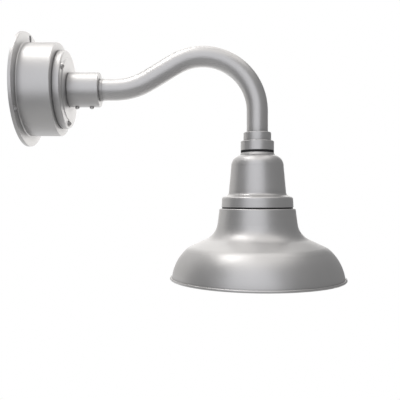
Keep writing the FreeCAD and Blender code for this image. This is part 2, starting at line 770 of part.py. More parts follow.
def make_arm_hub(doc):
    """Round hub with a nipple through the cover and two set-screw holes underneath."""
    body = new_body(doc, "arm_hub")
    outline = [
        ("place.nipple_end", "place.hub_bore_radius"),
        ("place.nipple_end", "place.nipple_radius"),
        ("place.hub_back", "place.nipple_radius"),
        ("place.hub_back", "place.hub_radius - size.hub_edge_round"),
        ("place.hub_back + size.hub_edge_round", "place.hub_radius",
         "size.hub_edge_round", "right"),
        ("place.hub_face - size.hub_edge_round", "place.hub_radius"),
        ("place.hub_face", "place.hub_radius - size.hub_edge_round",
         "size.hub_edge_round", "right"),
        ("place.hub_face", "place.hub_bore_radius"),
    ]
    revolve(body, new_sketch(body, "XZ_Plane", outlines=[outline]), "H_Axis")
    hole = [("place.set_screw_start", "0", "size.set_screw_radius + size.screw_clearance")]
    sketch = new_sketch(body, "XY_Plane", circles=hole)
    cut = pocket(body, sketch, "place.hub_radius + size.hub_edge_round")
    in_line(body, [cut], "X_Axis", "size.set_screw_spacing", "size.set_screw_count")
    return body


def make_set_screws(doc):
    """Headless screws that clamp the arm from below; their ends stand proud."""
    body = new_body(doc, "set_screws")
    edge = "size.set_screw_edge"
    outline = [
        ("place.set_screw_start", "-place.set_screw_tip"),
        ("place.set_screw_start", "-place.set_screw_end"),
        (f"place.set_screw_start + size.set_screw_radius - {edge}", "-place.set_screw_end"),
        ("place.set_screw_start + size.set_screw_radius", f"-place.set_screw_end + {edge}",
         edge, "left"),
        ("place.set_screw_start + size.set_screw_radius", "-place.set_screw_tip"),
    ]
    sketch = new_sketch(body, "XZ_Plane", outlines=[outline])
    axis = Part.LineSegment(FreeCAD.Vector(0, -1, 0), FreeCAD.Vector(0, 0, 0))
    index = sketch.addGeometry(axis, True)
    draw_corner(sketch, index, 1, outline[1])
    draw_corner(sketch, index, 2, outline[0])
    screw = revolve(body, sketch, "Axis0")
    in_line(body, [screw], "X_Axis", "size.set_screw_spacing", "size.set_screw_count")
    return body


def make_hub_fasteners(doc):
    """Washer and hexagon locknut on the hub's nipple, inside the cover."""
    ring(
        doc, "hub_washer", "YZ_Plane", "place.nipple_hole_radius", "place.hub_washer_radius",
        "place.hub_washer_face", "size.washer_thick",
    )
    nut = new_body(doc, "hub_locknut")
    sketch = new_sketch(
        nut, "YZ_Plane", outlines=[hexagon("place.hub_nut_corner_radius")],
        circles=[("0", "0", "place.nipple_hole_radius")], offset="place.hub_nut_back",
    )
    extrude(nut, sketch, "size.hub_nut_thick")


def make_carrier_plate(doc):
    """Steel plate across the back of the drum that carries the electrical parts."""
    body = new_body(doc, "carrier_plate")
    circles = [
        ("0", "0", "place.carrier_radius"),
        ("0", "0", "size.carrier_hole_radius"),
        ("place.carrier_screw_place", "0", "place.screw_hole_radius"),
        ("-place.carrier_screw_place", "0", "place.screw_hole_radius"),
        ("place.driver_screw_side", "place.driver_middle", "place.screw_hole_radius"),
        ("-place.driver_screw_side", "place.driver_middle", "place.screw_hole_radius"),
        ("-size.ground_screw_side", "size.ground_screw_rise", "place.screw_hole_radius"),
    ]
    sketch = new_sketch(body, "YZ_Plane", circles=circles, offset="size.carrier_setback")
    extrude(body, sketch, "size.carrier_thick")
    screws = new_body(doc, "carrier_screws")
    screw = add_screw(
        screws, "XY_Plane", "across", "size.carrier_setback", "place.carrier_screw_place", -1,
        ("size.screw_radius", "size.carrier_screw_length"), MACHINE_HEAD,
    )
    mirrored(screws, [screw], "XZ_Plane")


def make_led_driver(doc):
    """Potted driver block with two screw ears, and its screws into the carrier."""
    body = new_body(doc, "led_driver")
    half_width = "size.driver_width / 2"
    block = rectangle(
        f"-{half_width}", "place.driver_foot", half_width, "-place.driver_drop"
    )
    sketch = new_sketch(body, "YZ_Plane", outlines=[block], offset="place.carrier_face")
    extrude(body, sketch, "place.driver_depth")
    ear_low = "place.driver_middle - size.driver_ear_height / 2"
    ear_high = "place.driver_middle + size.driver_ear_height / 2"
    ear_end = f"{half_width} + size.driver_ear_reach"
    ears = rectangle(f"-({ear_end})", ear_low, ear_end, ear_high)
    sketch = new_sketch(body, "YZ_Plane", outlines=[ears], offset="place.carrier_face")
    block_with_ears = extrude(body, sketch, "size.driver_ear_thick")
    doc.recompute()
    long_edges = [
        f"Edge{number}"
        for number, edge in enumerate(block_with_ears.Shape.Edges, start=1)
        if edge.BoundBox.XLength > value(doc, "place.driver_depth") / 2
    ]
    rounding = body.newObject("PartDesign::Fillet", "led_driver_corners")
    rounding.Base = (block_with_ears, long_edges)
    rounding.setExpression("Radius", "size.driver_corner_round")
    for side in ("", "-"):
        hole = [(f"{side}place.driver_screw_side", "place.driver_middle",
                 "place.screw_hole_radius")]
        level = "place.carrier_face + size.driver_ear_thick"
        sketch = new_sketch(body, "YZ_Plane", circles=hole, offset=level)
        pocket(body, sketch, "size.driver_ear_thick")

    screws = new_body(doc, "driver_screws")
    screw = add_screw(
        screws, "XY_Plane", "across", "(place.carrier_face + size.driver_ear_thick)",
        "place.driver_screw_side", 1, ("size.screw_radius", "size.driver_screw_length"),
        MACHINE_HEAD, offset="place.driver_middle",
    )
    mirrored(screws, [screw], "XZ_Plane")


def make_terminal_block(doc):
    """Four-pole terminal block: a screw well and a lead hole at each pole."""
    body = new_body(doc, "terminal_block")
    half_width = "size.terminal_width / 2"
    block = rectangle(f"-{half_width}", "place.terminal_rise", half_width, "place.terminal_top")
    sketch = new_sketch(body, "YZ_Plane", outlines=[block], offset="place.carrier_face")
    extrude(body, sketch, "size.terminal_depth")
    first_pole = "-size.pole_pitch * (size.pole_count - 1) / 2"
    well = [(first_pole, "(place.terminal_rise + place.terminal_top) / 2",
             "size.pole_well_radius")]
    level = "place.carrier_face + size.terminal_depth"
    sketch = new_sketch(body, "YZ_Plane", circles=well, offset=level)
    cut = pocket(body, sketch, "size.pole_well_depth")
    in_line(body, [cut], "Y_Axis", "size.pole_pitch", "size.pole_count")
    hole = [("place.lead_level", first_pole, "size.lead_hole_radius")]
    sketch = new_sketch(body, "XY_Plane", circles=hole, offset="place.terminal_rise")
    cut = pocket(body, sketch, "size.lead_hole_depth", backwards=True)
    in_line(body, [cut], "Y_Axis", "size.pole_pitch", "size.pole_count")
    return body


def sweep(body, plane, path, profile_plane, profile_circles, profile_offset):
    """Carry a sketch of circles along a path of lines and tangent arcs."""
    spine = new_sketch(body, plane[0], path=path, offset=plane[1])
    profile = new_sketch(body, profile_plane, circles=profile_circles, offset=profile_offset)
    pipe = body.newObject("PartDesign::AdditivePipe", f"{body.Label}_pipe")
    pipe.Profile = profile
    pipe.Spine = (spine, [])
    return pipe


def make_supply_leads(doc):
    """Live and neutral leads from the terminal block down to the driver."""
    body = new_body(doc, "supply_leads")
    upper_bend = "(place.lead_span_middle + place.lead_bend_drop)"
    lower_bend = "(place.lead_span_middle - place.lead_bend_drop)"
    far_level = "place.lead_level + place.lead_shift"
    path = [
        ("place.lead_level", "place.terminal_rise"),
        ("place.lead_level", upper_bend),
        ("place.lead_level + place.lead_shift / 2", "place.lead_span_middle",
         "size.lead_bend_radius", "left"),
        (far_level, lower_bend, "size.lead_bend_radius", "right"),
        (far_level, "-place.driver_drop"),
    ]
    for side in ("0.5 * size.pole_pitch", "1.5 * size.pole_pitch"):
        sweep(
            body, ("XZ_Plane", f"-{side}"), path, "XY_Plane",
            [("place.lead_level", side, "size.lead_radius")], "place.terminal_rise",
        )
    return body


def make_earth_parts(doc):
    """Earth lead, its ring lug and the hexagon screw that holds it to the carrier."""
    side = "-size.ground_screw_side"
    rise = "size.ground_screw_rise"
    screw = new_body(doc, "ground_screw")
    sketch = new_sketch(
        screw, "YZ_Plane", outlines=[hexagon("size.ground_head_corner_radius", side, rise)],
        offset="place.carrier_face + size.lug_thick",
    )
    extrude(screw, sketch, "size.ground_head_thick")
    sketch = new_sketch(
        screw, "YZ_Plane", circles=[(side, rise, "size.screw_radius")],
        offset="size.carrier_setback",
    )
    extrude(screw, sketch, "size.carrier_thick + size.lug_thick + size.ground_head_thick / 2")

    lug = new_body(doc, "earth_lug")
    circles = [(side, rise, "size.lug_radius"), (side, rise, "place.screw_hole_radius")]
    sketch = new_sketch(lug, "YZ_Plane", circles=circles, offset="place.carrier_face")
    extrude(lug, sketch, "size.lug_thick")
    lug_end = "size.ground_screw_side - size.ground_head_corner_radius - size.lug_clearance"
    barrel = [("place.lead_level", rise, "size.lug_barrel_radius")]
    sketch = new_sketch(lug, "XZ_Plane", circles=barrel,
                        offset=f"{lug_end} - size.lug_barrel_length")
    extrude(lug, sketch, "size.lug_barrel_length")

    lead = new_body(doc, "earth_lead")
    pole = "-size.pole_pitch * (size.pole_count - 1) / 2"
    path = [
        (pole, "place.terminal_rise"),
        (pole, f"{rise} + size.earth_bend_radius"),
        (f"{pole} - size.earth_bend_radius", rise, "size.earth_bend_radius", "right"),
        (f"-({lug_end} - size.lug_barrel_length)", rise),
    ]
    sweep(
        lead, ("YZ_Plane", "place.lead_level"), path, "XY_Plane",
        [("place.lead_level", pole, "size.lead_radius")], "place.terminal_rise",
    )


def make_output_lead(doc):
    """Driver's output lead, and the splice where it meets the arm's cable."""
    lead = new_body(doc, "driver_output_lead")
    foot = "place.output_lead_place"
    path = [
        (foot, "-place.driver_drop"),
        (foot, "-place.output_lead_bend"),
        ("place.splice_back", "0", "place.output_lead_bend", "right"),
    ]
    sweep(
        lead, ("XZ_Plane", "0"), path, "XY_Plane",
        [(foot, "0", "size.output_lead_radius")], "-place.driver_drop",
    )
    splice = new_body(doc, "splice_connector")
    sketch = new_sketch(
        splice, "YZ_Plane", circles=[("0", "0", "size.splice_radius")],
        offset="place.splice_back",
    )
    extrude(splice, sketch, "size.splice_length")


# Arm -------------------------------------------------------------------------------


def gooseneck_route(start, end):
    """Centre line of the arm from a place on the hub's axis to a height below the crest."""
    return [
        (start, "0"),
        ("place.bend_start", "0"),
        ("place.rise_end_x", "place.rise_end_z", "size.rise_bend_radius", "left"),
        ("place.crest_start_x", "place.crest_start_z"),
        ("size.arm_reach", "place.drop_end_z", "size.drop_bend_radius", "right"),
        ("size.arm_reach", end),
    ]


def make_gooseneck_tube(doc):
    """Bent tube with a groove near its inner end for the retaining clip."""
    body = new_body(doc, "gooseneck_tube")
    sweep(
        body, ("XZ_Plane", "0"), gooseneck_route("place.tube_start", "place.tube_end"),
        "YZ_Plane",
        [("0", "0", "size.tube_radius"), ("0", "0", "place.tube_inner_radius")],
        "place.tube_start",
    )
    slot = rectangle(
        "place.clip_back", "place.groove_radius",
        "place.clip_face", "size.tube_radius + size.clip_groove_depth",
    )
    sketch = new_sketch(body, "XZ_Plane", outlines=[slot])
    revolve(body, sketch, "H_Axis", "PartDesign::Groove")
    return body


def make_arm_retainers(doc):
    """Clip and thrust washer behind the hub's nipple, and the stop ring in front."""
    clip = ring(
        doc, "retaining_clip", "YZ_Plane", "place.groove_radius + size.seat_clearance",
        "place.clip_radius", "place.clip_back", "size.clip_thick",
    )
    half_mouth = "size.clip_mouth / 2"
    mouth = rectangle(f"-{half_mouth}", "-place.clip_radius - size.clip_thick", half_mouth, "0")
    pocket(
        clip, new_sketch(clip, "YZ_Plane", outlines=[mouth], offset="place.clip_face"),
        "size.clip_thick",
    )
    ring(
        doc, "thrust_washer", "YZ_Plane", "place.hub_bore_radius", "place.nipple_radius",
        "place.clip_face", "size.thrust_washer_thick",
    )
    ring(
        doc, "stop_ring", "YZ_Plane", "size.tube_radius + size.seat_clearance",
        "place.stop_ring_radius", "place.stop_ring_back", "size.stop_ring_width",
    )


def make_tube_grommet(doc):
    """Rubber bush that keeps the cable off the tube's cut end."""
    body = new_body(doc, "tube_grommet")
    outline = [
        ("place.tube_start - size.grommet_flange_thick", "place.cable_hole_radius"),
        ("place.tube_start - size.grommet_flange_thick", "place.groove_radius"),
        ("place.tube_start", "place.groove_radius"),
        ("place.tube_start", "place.tube_inner_radius - size.seat_clearance"),
        ("place.tube_start + size.grommet_plug_length",
         "place.tube_inner_radius - size.seat_clearance"),
        ("place.tube_start + size.grommet_plug_length", "place.cable_hole_radius"),
    ]
    revolve(body, new_sketch(body, "XZ_Plane", outlines=[outline]), "H_Axis")
    return body


def make_lamp_cable(doc):
    """Jacketed cable along the arm's centre line, from the splice to the LED board."""
    body = new_body(doc, "lamp_cable")
    sweep(
        body, ("XZ_Plane", "0"), gooseneck_route("place.cable_start", "place.sink_face"),
        "YZ_Plane", [("0", "0", "size.cable_radius")], "place.cable_start",
    )
    return body


# Lamp head -------------------------------------------------------------------------


def turned_on_lamp_axis(doc, label, outline):
    """A piece turned about the lamp's axis from an outline of (radius, height)."""
    body = new_body(doc, label, on_lamp_axis=True)
    revolve(body, new_sketch(body, "XZ_Plane", outlines=[outline]), "V_Axis")
    return body


def drill_shade_screw_holes(body, level, depth, backwards=False):
    """The ring of holes that the shade's screws pass through or bite into."""
    hole = [("place.shade_screw_place", "0", "place.screw_hole_radius")]
    sketch = new_sketch(body, "XY_Plane", circles=hole, offset=level)
    cut = pocket(body, sketch, depth, backwards)
    around(body, [cut], "Z_Axis", "size.shade_screw_count")


def make_stepped_collar(doc):
    """Two-step collar that takes the tube's end and passes a spigot through the hood."""
    bore = "size.tube_radius + size.seat_clearance"
    chamfer = "size.collar_chamfer"
    return turned_on_lamp_axis(doc, "stepped_collar", [
        (bore, "place.collar_top"),
        (f"place.collar_upper_radius - {chamfer}", "place.collar_top"),
        ("place.collar_upper_radius", f"place.collar_top - {chamfer}"),
        ("place.collar_upper_radius", "place.collar_step"),
        (f"place.collar_lower_radius - {chamfer}", "place.collar_step"),
        ("place.collar_lower_radius", f"place.collar_step - {chamfer}"),
        ("place.collar_lower_radius", "place.collar_foot"),
        ("size.spigot_radius", "place.collar_foot"),
        ("size.spigot_radius", "place.spigot_end"),
        ("size.spigot_bore_radius", "place.spigot_end"),
        ("size.spigot_bore_radius", "place.tube_end"),
        (bore, "place.tube_end"),
    ])


def make_hood_fasteners(doc):
    """Gasket above the hood's top, and washer and locknut below it."""
    ring(
        doc, "collar_gasket", "XY_Plane", "place.spigot_hole_radius",
        "place.collar_lower_radius - size.seal_slack", "place.hood_top",
        "size.collar_seal_thick", on_lamp_axis=True,
    )
    ring(
        doc, "hood_washer", "XY_Plane", "place.spigot_hole_radius",
        "place.hood_washer_radius", "place.hood_washer_foot", "size.washer_thick",
        on_lamp_axis=True,
    )
    nut = new_body(doc, "hood_locknut", on_lamp_axis=True)
    sketch = new_sketch(
        nut, "XY_Plane", outlines=[hexagon("place.hood_nut_corner_radius")],
        circles=[("0", "0", "place.spigot_hole_radius")], offset="place.hood_nut_foot",
    )
    extrude(nut, sketch, "size.hood_nut_thick")


def make_hood(doc):
    """Cast dome over the shade, with a ring at its foot and three screw bosses inside."""
    top = "place.hood_top"
    body = turned_on_lamp_axis(doc, "hood", [
        ("place.spigot_hole_radius", top),
        ("place.hood_cap_radius", top),
        ("place.brow_radius", f"{top} - size.brow_drop"),
        ("place.dome_radius", f"{top} - size.dome_drop", "size.dome_round", "right"),
        ("place.foot_radius", f"{top} - size.foot_drop"),
        ("place.ledge_inner_radius", f"{top} - size.ledge_inner_drop",
         "size.foot_round", "left"),
        ("place.ledge_radius", f"{top} - size.ledge_drop"),
        ("place.ring_top_radius", f"{top} - size.ring_top_drop", "size.ledge_round", "right"),
        ("place.ring_radius", "place.hood_foot"),
        ("place.ring_inner_radius", "place.hood_foot"),
        ("place.ring_inner_radius", "place.ledge_inner_z"),
        ("place.foot_inner_radius", f"{top} - size.ledge_inner_drop"),
        ("place.dome_inner_radius", "place.hood_inside - size.hood_inner_round"),
        ("place.dome_inner_radius - size.hood_inner_round", "place.hood_inside",
         "size.hood_inner_round", "left"),
        ("place.spigot_hole_radius", "place.hood_inside"),
    ])
    boss = [("place.shade_screw_place", "0", "size.hood_boss_radius")]
    sketch = new_sketch(body, "XY_Plane", circles=boss, offset="place.hood_foot")
    boss_pad = extrude(body, sketch, "size.hood_boss_length")
    around(body, [boss_pad], "Z_Axis", "size.shade_screw_count")
    grip = "size.shade_screw_length - (place.hood_foot - place.sink_face)"
    drill_shade_screw_holes(
        body, "place.hood_foot", f"{grip} + size.screw_radius", backwards=True
    )
    return body


def make_hood_gasket(doc):
    body = ring(
        doc, "hood_gasket", "XY_Plane", "place.hood_seal_bore_radius",
        "place.ring_radius - size.hood_seal_inset", "place.shade_top",
        "size.hood_seal_thick", on_lamp_axis=True,
    )
    drill_shade_screw_holes(body, "place.hood_foot", "size.hood_seal_thick")
    return body


def make_shade(doc):
    """Spun bell of even wall: flat top, tapered neck, sweep, shoulder, skirt and bead."""
    wall = "size.shade_wall"

    def inside(radius, height, angle):
        """The point one wall inside a point of the outer face that slopes by angle."""
        return (f"{radius} - {wall} * sin({angle})", f"{height} - {wall} * cos({angle})")

    neck_angle = "(90 - size.neck_taper)"
    body = turned_on_lamp_axis(doc, "shade", [
        ("size.shade_hole_radius", "place.shade_top"),
        ("size.neck_radius - size.neck_top_round", "place.shade_top"),
        ("size.neck_radius", "place.shade_top - size.neck_top_round",
         "size.neck_top_round", "right"),
        ("place.neck_end_r", "place.neck_end_z"),
        ("place.sweep_end_r", "place.sweep_end_z", "size.sweep_round", "left"),
        ("place.shoulder_start_r", "place.shoulder_start_z"),
        ("place.shoulder_end_r", "place.shoulder_end_z", "size.shoulder_round", "right"),
        ("place.skirt_end_r", "place.skirt_end_z", "size.skirt_round", "right"),
        ("place.skirt_end_r", "place.bead_place_z"),
        (f"place.skirt_end_r - {wall}", "place.bead_place_z"),
        inside("place.skirt_end_r", "place.skirt_end_z", "size.lip_angle"),
        inside("place.shoulder_end_r", "place.shoulder_end_z", "size.shoulder_angle")
        + (f"size.skirt_round - {wall}", "left"),
        inside("place.shoulder_start_r", "place.shoulder_start_z", "size.slope_angle")
        + (f"size.shoulder_round - {wall}", "left"),
        inside("place.sweep_end_r", "place.sweep_end_z", "size.slope_angle"),
        inside("place.neck_end_r", "place.neck_end_z", neck_angle)
        + (f"size.sweep_round + {wall}", "right"),
        (f"size.neck_radius - {wall} / cos(size.neck_taper)"
         f" - (size.neck_top_round - {wall}) * tan(size.neck_taper)", "place.shade_under"),
        ("size.shade_hole_radius", "place.shade_under"),
    ])
    bead = [("place.bead_place_r", "place.bead_place_z", "size.bead_radius")]
    revolve(body, new_sketch(body, "XZ_Plane", circles=bead), "V_Axis")
    drill_shade_screw_holes(body, "place.shade_top", wall)
    return body


def make_shade_screws(doc):
    """Screws up through the heat sink and the shade's top into the hood."""
    body = new_body(doc, "shade_screws", on_lamp_axis=True)
    screw = add_screw(
        body, "XZ_Plane", "up", "place.sink_face", "place.shade_screw_place", -1,
        ("size.screw_radius", "size.shade_screw_length"), MACHINE_HEAD,
    )
    around(body, [screw], "Z_Axis", "size.shade_screw_count")
    return body


def make_heat_sink(doc):
    """Cup with a finned core that stands up through the shade's top into the hood."""
    body = turned_on_lamp_axis(doc, "heat_sink", [
        ("place.sink_bore_radius", "place.fin_top"),
        ("size.sink_core_radius", "place.fin_top"),
        ("size.sink_core_radius", "place.shade_under"),
        ("place.sink_radius", "place.shade_under"),
        ("place.sink_radius", "place.skirt_foot"),
        ("place.skirt_inner_radius", "place.skirt_foot"),
        ("place.skirt_inner_radius", "place.sink_face"),
        ("place.sink_bore_radius", "place.sink_face"),
    ])
    half = "size.fin_thick / 2"
    root = "(size.sink_core_radius + place.sink_bore_radius) / 2"
    blade = rectangle(root, f"-{half}", "place.fin_radius", half)
    sketch = new_sketch(body, "XY_Plane", outlines=[blade], offset="place.shade_under")
    fin = extrude(body, sketch, "size.fin_height")
    around(body, [fin], "Z_Axis", "size.fin_count")
    drill_shade_screw_holes(body, "place.shade_under", "size.sink_base_thick")
    drill_lens_screw_holes(body)
    return body


def drill_lens_screw_holes(body):
    """Radial holes for the lens ring's screws."""
    hole = [("0", "place.lens_screw_z", "size.lens_screw_radius + size.screw_clearance")]
    sketch = new_sketch(body, "YZ_Plane", circles=hole, offset="place.lens_ring_radius")
    depth = "place.lens_ring_radius - place.sink_radius + size.sink_skirt_wall"
    cut = pocket(body, sketch, depth)
    around(body, [cut], "Z_Axis", "size.lens_screw_count")


def make_sink_grommet(doc):
    """Rubber bush in the top of the heat sink's core."""
    return turned_on_lamp_axis(doc, "sink_grommet", [
        ("place.cable_hole_radius", "place.fin_top + size.sink_grommet_wall"),
        ("size.sink_grommet_flange_radius", "place.fin_top + size.sink_grommet_wall"),
        ("size.sink_grommet_flange_radius", "place.fin_top"),
        ("place.sink_bore_radius - size.seat_clearance", "place.fin_top"),
        ("place.sink_bore_radius - size.seat_clearance",
         "place.fin_top - size.sink_grommet_depth"),
        ("place.cable_hole_radius", "place.fin_top - size.sink_grommet_depth"),
    ])


def make_led_board(doc):
    """Round board on the heat sink, and two rings of LED chips on its face."""
    board = new_body(doc, "led_board", on_lamp_axis=True)
    sketch = new_sketch(
        board, "XY_Plane", circles=[("0", "0", "size.board_radius")], offset="place.board_face"
    )
    extrude(board, sketch, "size.board_thick")
    chips = new_body(doc, "led_chips", on_lamp_axis=True)
    half = "size.chip_width / 2"
    for ring_name in ("inner", "outer"):
        place = f"size.{ring_name}_chip_place"
        square = rectangle(f"{place} - {half}", f"-{half}", f"{place} + {half}", half)
        sketch = new_sketch(chips, "XY_Plane", outlines=[square], offset="place.board_face")
        chip = extrude(chips, sketch, "size.chip_thick", backwards=True)
        around(chips, [chip], "Z_Axis", f"size.{ring_name}_chip_count")


def make_optics(doc):
    """Cone reflector, frosted lens, its gasket and the ring that clamps them."""
    turned_on_lamp_axis(doc, "reflector", [
        ("size.reflector_throat_radius", "place.board_face"),
        ("size.reflector_throat_radius + size.reflector_wall", "place.board_face"),
        ("place.reflector_mouth_radius + size.reflector_wall", "place.reflector_mouth"),
        ("place.reflector_mouth_radius", "place.reflector_mouth"),
    ])
    lens = new_body(doc, "lens", on_lamp_axis=True)
    sketch = new_sketch(
        lens, "XY_Plane", circles=[("0", "0", "place.lens_radius")], offset="place.lens_foot"
    )
    extrude(lens, sketch, "size.lens_thick")
    ring(
        doc, "lens_gasket", "XY_Plane", "place.skirt_inner_radius",
        "place.lens_radius - size.seal_slack", "place.lens_top", "size.lens_seal_thick",
        on_lamp_axis=True,
    )
    lens_ring = turned_on_lamp_axis(doc, "lens_ring", [
        ("place.lens_ring_bore_radius", "place.lens_ring_top"),
        ("place.lens_ring_radius", "place.lens_ring_top"),
        ("place.lens_ring_radius", "place.lens_ring_foot"),
        ("place.lens_ring_lip_radius", "place.lens_ring_foot"),
        ("place.lens_ring_lip_radius", "place.lens_foot"),
        ("place.lens_ring_bore_radius", "place.lens_foot"),
    ])
    drill_lens_screw_holes(lens_ring)
    screws = new_body(doc, "lens_screws", on_lamp_axis=True)
    half_height = "size.lens_screw_head_height / 2"
    screw = add_screw(
        screws, "XZ_Plane", "across", "place.lens_ring_radius", "place.lens_screw_z", 1,
        ("size.lens_screw_radius", "size.lens_screw_length"),
        ("size.lens_screw_head_radius", f"({half_height})", f"({half_height})"),
    )
    around(screws, [screw], "Z_Axis", "size.lens_screw_count")


MAKERS = (
    make_wall_housing,
    make_wall_gasket,
    make_cover_gasket,
    make_front_cover,
    make_cover_screws,
    make_hub_gasket,
    make_arm_hub,
    make_set_screws,
    make_hub_fasteners,
    make_carrier_plate,
    make_led_driver,
    make_terminal_block,
    make_supply_leads,
    make_earth_parts,
    make_output_lead,
    make_gooseneck_tube,
    make_arm_retainers,
    make_tube_grommet,
    make_lamp_cable,
    make_stepped_collar,
    make_hood_fasteners,
    make_hood,
    make_hood_gasket,
    make_shade,
    make_shade_screws,
    make_heat_sink,
    make_sink_grommet,
    make_led_board,
    make_optics,
)


def check(doc):
    """Stop if any object failed to compute or any piece is empty or broken."""
    for item in doc.Objects:
        if "Invalid" in item.State or "Error" in item.State:
            raise RuntimeError(f"{item.Label} did not compute: {item.State}")
    bodies = [item for item in doc.Objects if item.TypeId == "PartDesign::Body"]
    for body in bodies:
        if body.Shape.isNull() or not body.Shape.isValid() or not body.Shape.Solids:
            raise RuntimeError(f"{body.Label} has no valid solid")
    return bodies


def main():
    doc = FreeCAD.newDocument("gooseneck_wall_sconce")
    write_sheet(doc, "size", SIZES)
    write_sheet(doc, "place", {name: f"={formula}" for name, formula in PLACES.items()})
    for make in MAKERS:
        make(doc)
    doc.recompute()
    bodies = check(doc)
    os.makedirs("parts", exist_ok=True)
    for body in bodies:
        body.Shape.exportStep(f"parts/{body.Label}.step")
        print(f"{body.Label}: {len(body.Shape.Solids)} solids, {body.Shape.Volume:.1f} mm3")


main()
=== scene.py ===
"""Looks for a gooseneck wall sconce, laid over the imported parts.

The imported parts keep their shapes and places.  This file gives each of them its
finish, puts finer pieces where small detail shows, and sets up the studio.
Lengths are metres, the origin is the middle of the wall flange's back face, +X
points out of the wall and +Z is up.
"""

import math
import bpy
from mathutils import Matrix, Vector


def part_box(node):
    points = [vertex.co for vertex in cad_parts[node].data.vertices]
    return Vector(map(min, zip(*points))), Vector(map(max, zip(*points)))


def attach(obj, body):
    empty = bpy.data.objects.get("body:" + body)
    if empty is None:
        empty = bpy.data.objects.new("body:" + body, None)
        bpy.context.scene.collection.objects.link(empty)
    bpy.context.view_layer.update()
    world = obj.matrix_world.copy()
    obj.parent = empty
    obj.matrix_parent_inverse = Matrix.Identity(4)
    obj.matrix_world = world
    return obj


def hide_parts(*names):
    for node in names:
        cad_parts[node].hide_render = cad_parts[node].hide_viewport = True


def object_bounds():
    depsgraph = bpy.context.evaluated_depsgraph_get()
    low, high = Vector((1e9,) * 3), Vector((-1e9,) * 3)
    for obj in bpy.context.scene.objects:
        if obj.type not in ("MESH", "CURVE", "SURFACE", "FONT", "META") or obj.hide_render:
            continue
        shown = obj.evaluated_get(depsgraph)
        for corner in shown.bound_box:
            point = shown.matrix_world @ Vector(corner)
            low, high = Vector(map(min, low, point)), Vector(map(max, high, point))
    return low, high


bl_info = {
    "name": "Gooseneck Wall Sconce",
    "version": (1, 0, 0),
    "blender": (4, 5, 0),
    "location": "View3D > Sidebar > Sconce",
    "description": "Finishes, fine detail and studio for a gooseneck wall sconce",
    "category": "Object",
}

import bmesh
import bpy
from bpy.props import FloatProperty, FloatVectorProperty, IntProperty, PointerProperty
from mathutils import Vector

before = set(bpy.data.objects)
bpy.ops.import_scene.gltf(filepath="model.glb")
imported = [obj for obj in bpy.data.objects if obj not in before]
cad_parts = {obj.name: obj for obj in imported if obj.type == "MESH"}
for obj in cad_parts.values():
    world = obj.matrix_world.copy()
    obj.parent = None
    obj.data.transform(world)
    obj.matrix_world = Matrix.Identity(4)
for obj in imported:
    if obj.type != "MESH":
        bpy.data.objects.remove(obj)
cad_low, cad_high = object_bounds()

WALL_BODY = "wall_mount"
ARM_BODY = "arm"
MM = 0.001
FULL_TURN = 2.0 * math.pi
QUARTER_TURN = 0.5 * math.pi


def middle(node):
    """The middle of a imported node's box."""
    low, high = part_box(node)
    return (low + high) / 2.0


# The lamp hangs from the end of the arm, on this upright axis.
LAMP_AXIS = middle("shade")
# The hub's axis is the frame's X axis, so it passes through the origin.
HUB_AXIS = Vector((0.0, 0.0, 0.0))
WHITE = (1.0, 1.0, 1.0, 1.0)


# Node trees -----------------------------------------------------------------------


class Signal:
    """An output socket.  Arithmetic on it adds Math nodes to its tree."""

    def __init__(self, board, socket):
        self.board = board
        self.socket = socket

    def math(self, operation, *terms):
        return self.board.add("ShaderNodeMath", {"operation": operation}, terms)

    def __add__(self, other):
        return self.math("ADD", self, other)

    def __radd__(self, other):
        return self.math("ADD", other, self)

    def __sub__(self, other):
        return self.math("SUBTRACT", self, other)

    def __rsub__(self, other):
        return self.math("SUBTRACT", other, self)

    def __mul__(self, other):
        return self.math("MULTIPLY", self, other)

    def __truediv__(self, other):
        return self.math("DIVIDE", self, other)

    def __pow__(self, other):
        return self.math("POWER", self, other)

    def __gt__(self, other):
        return self.math("GREATER_THAN", self, other)

    def __lt__(self, other):
        return self.math("LESS_THAN", self, other)


class Board:
    """A node tree that nodes are added to, one call each."""

    def __init__(self, tree):
        self.tree = tree

    def add(self, kind, settings=None, inputs=(), output=0):
        """Add a node, set it up, feed its inputs, and give one of its outputs."""
        node = self.tree.nodes.new(kind)
        for name, setting in (settings or {}).items():
            if name == "stops":
                self.set_stops(node.color_ramp, setting)
            elif name == "choices":
                self.set_choices(node.index_switch_items, setting)
            else:
                setattr(node, name, setting)
        pairs = inputs.items() if isinstance(inputs, dict) else enumerate(inputs)
        for key, content in pairs:
            if isinstance(content, Signal):
                self.tree.links.new(content.socket, node.inputs[key])
            elif content is not None:
                node.inputs[key].default_value = content
        return Signal(self, node.outputs[output]) if len(node.outputs) else node

    @staticmethod
    def set_stops(ramp, stops):
        for index, (place, colour) in enumerate(stops):
            stop = ramp.elements[index] if index < 2 else ramp.elements.new(place)
            stop.position = place
            stop.color = (*colour, 1.0)

    @staticmethod
    def set_choices(items, count):
        for _ in range(count - len(items)):
            items.new()

    def clamped(self, signal):
        """The signal kept between 0 and 1."""
        return self.add("ShaderNodeClamp", inputs=[signal])

    def split(self, vector):
        """The X, Y and Z of a vector, by letter."""
        node = self.tree.nodes.new("ShaderNodeSeparateXYZ")
        self.tree.links.new(vector.socket, node.inputs[0])
        return {letter: Signal(self, node.outputs[letter]) for letter in "XYZ"}

    def vector(self, x, y, z):
        return self.add("ShaderNodeCombineXYZ", inputs=[x, y, z])

    def joined(self, parts):
        """Geometry of several parts together."""
        node = self.tree.nodes.new("GeometryNodeJoinGeometry")
        for part in parts:
            self.tree.links.new(part.socket, node.inputs[0])
        return Signal(self, node.outputs[0])


# Material helpers ------------------------------------------------------------------


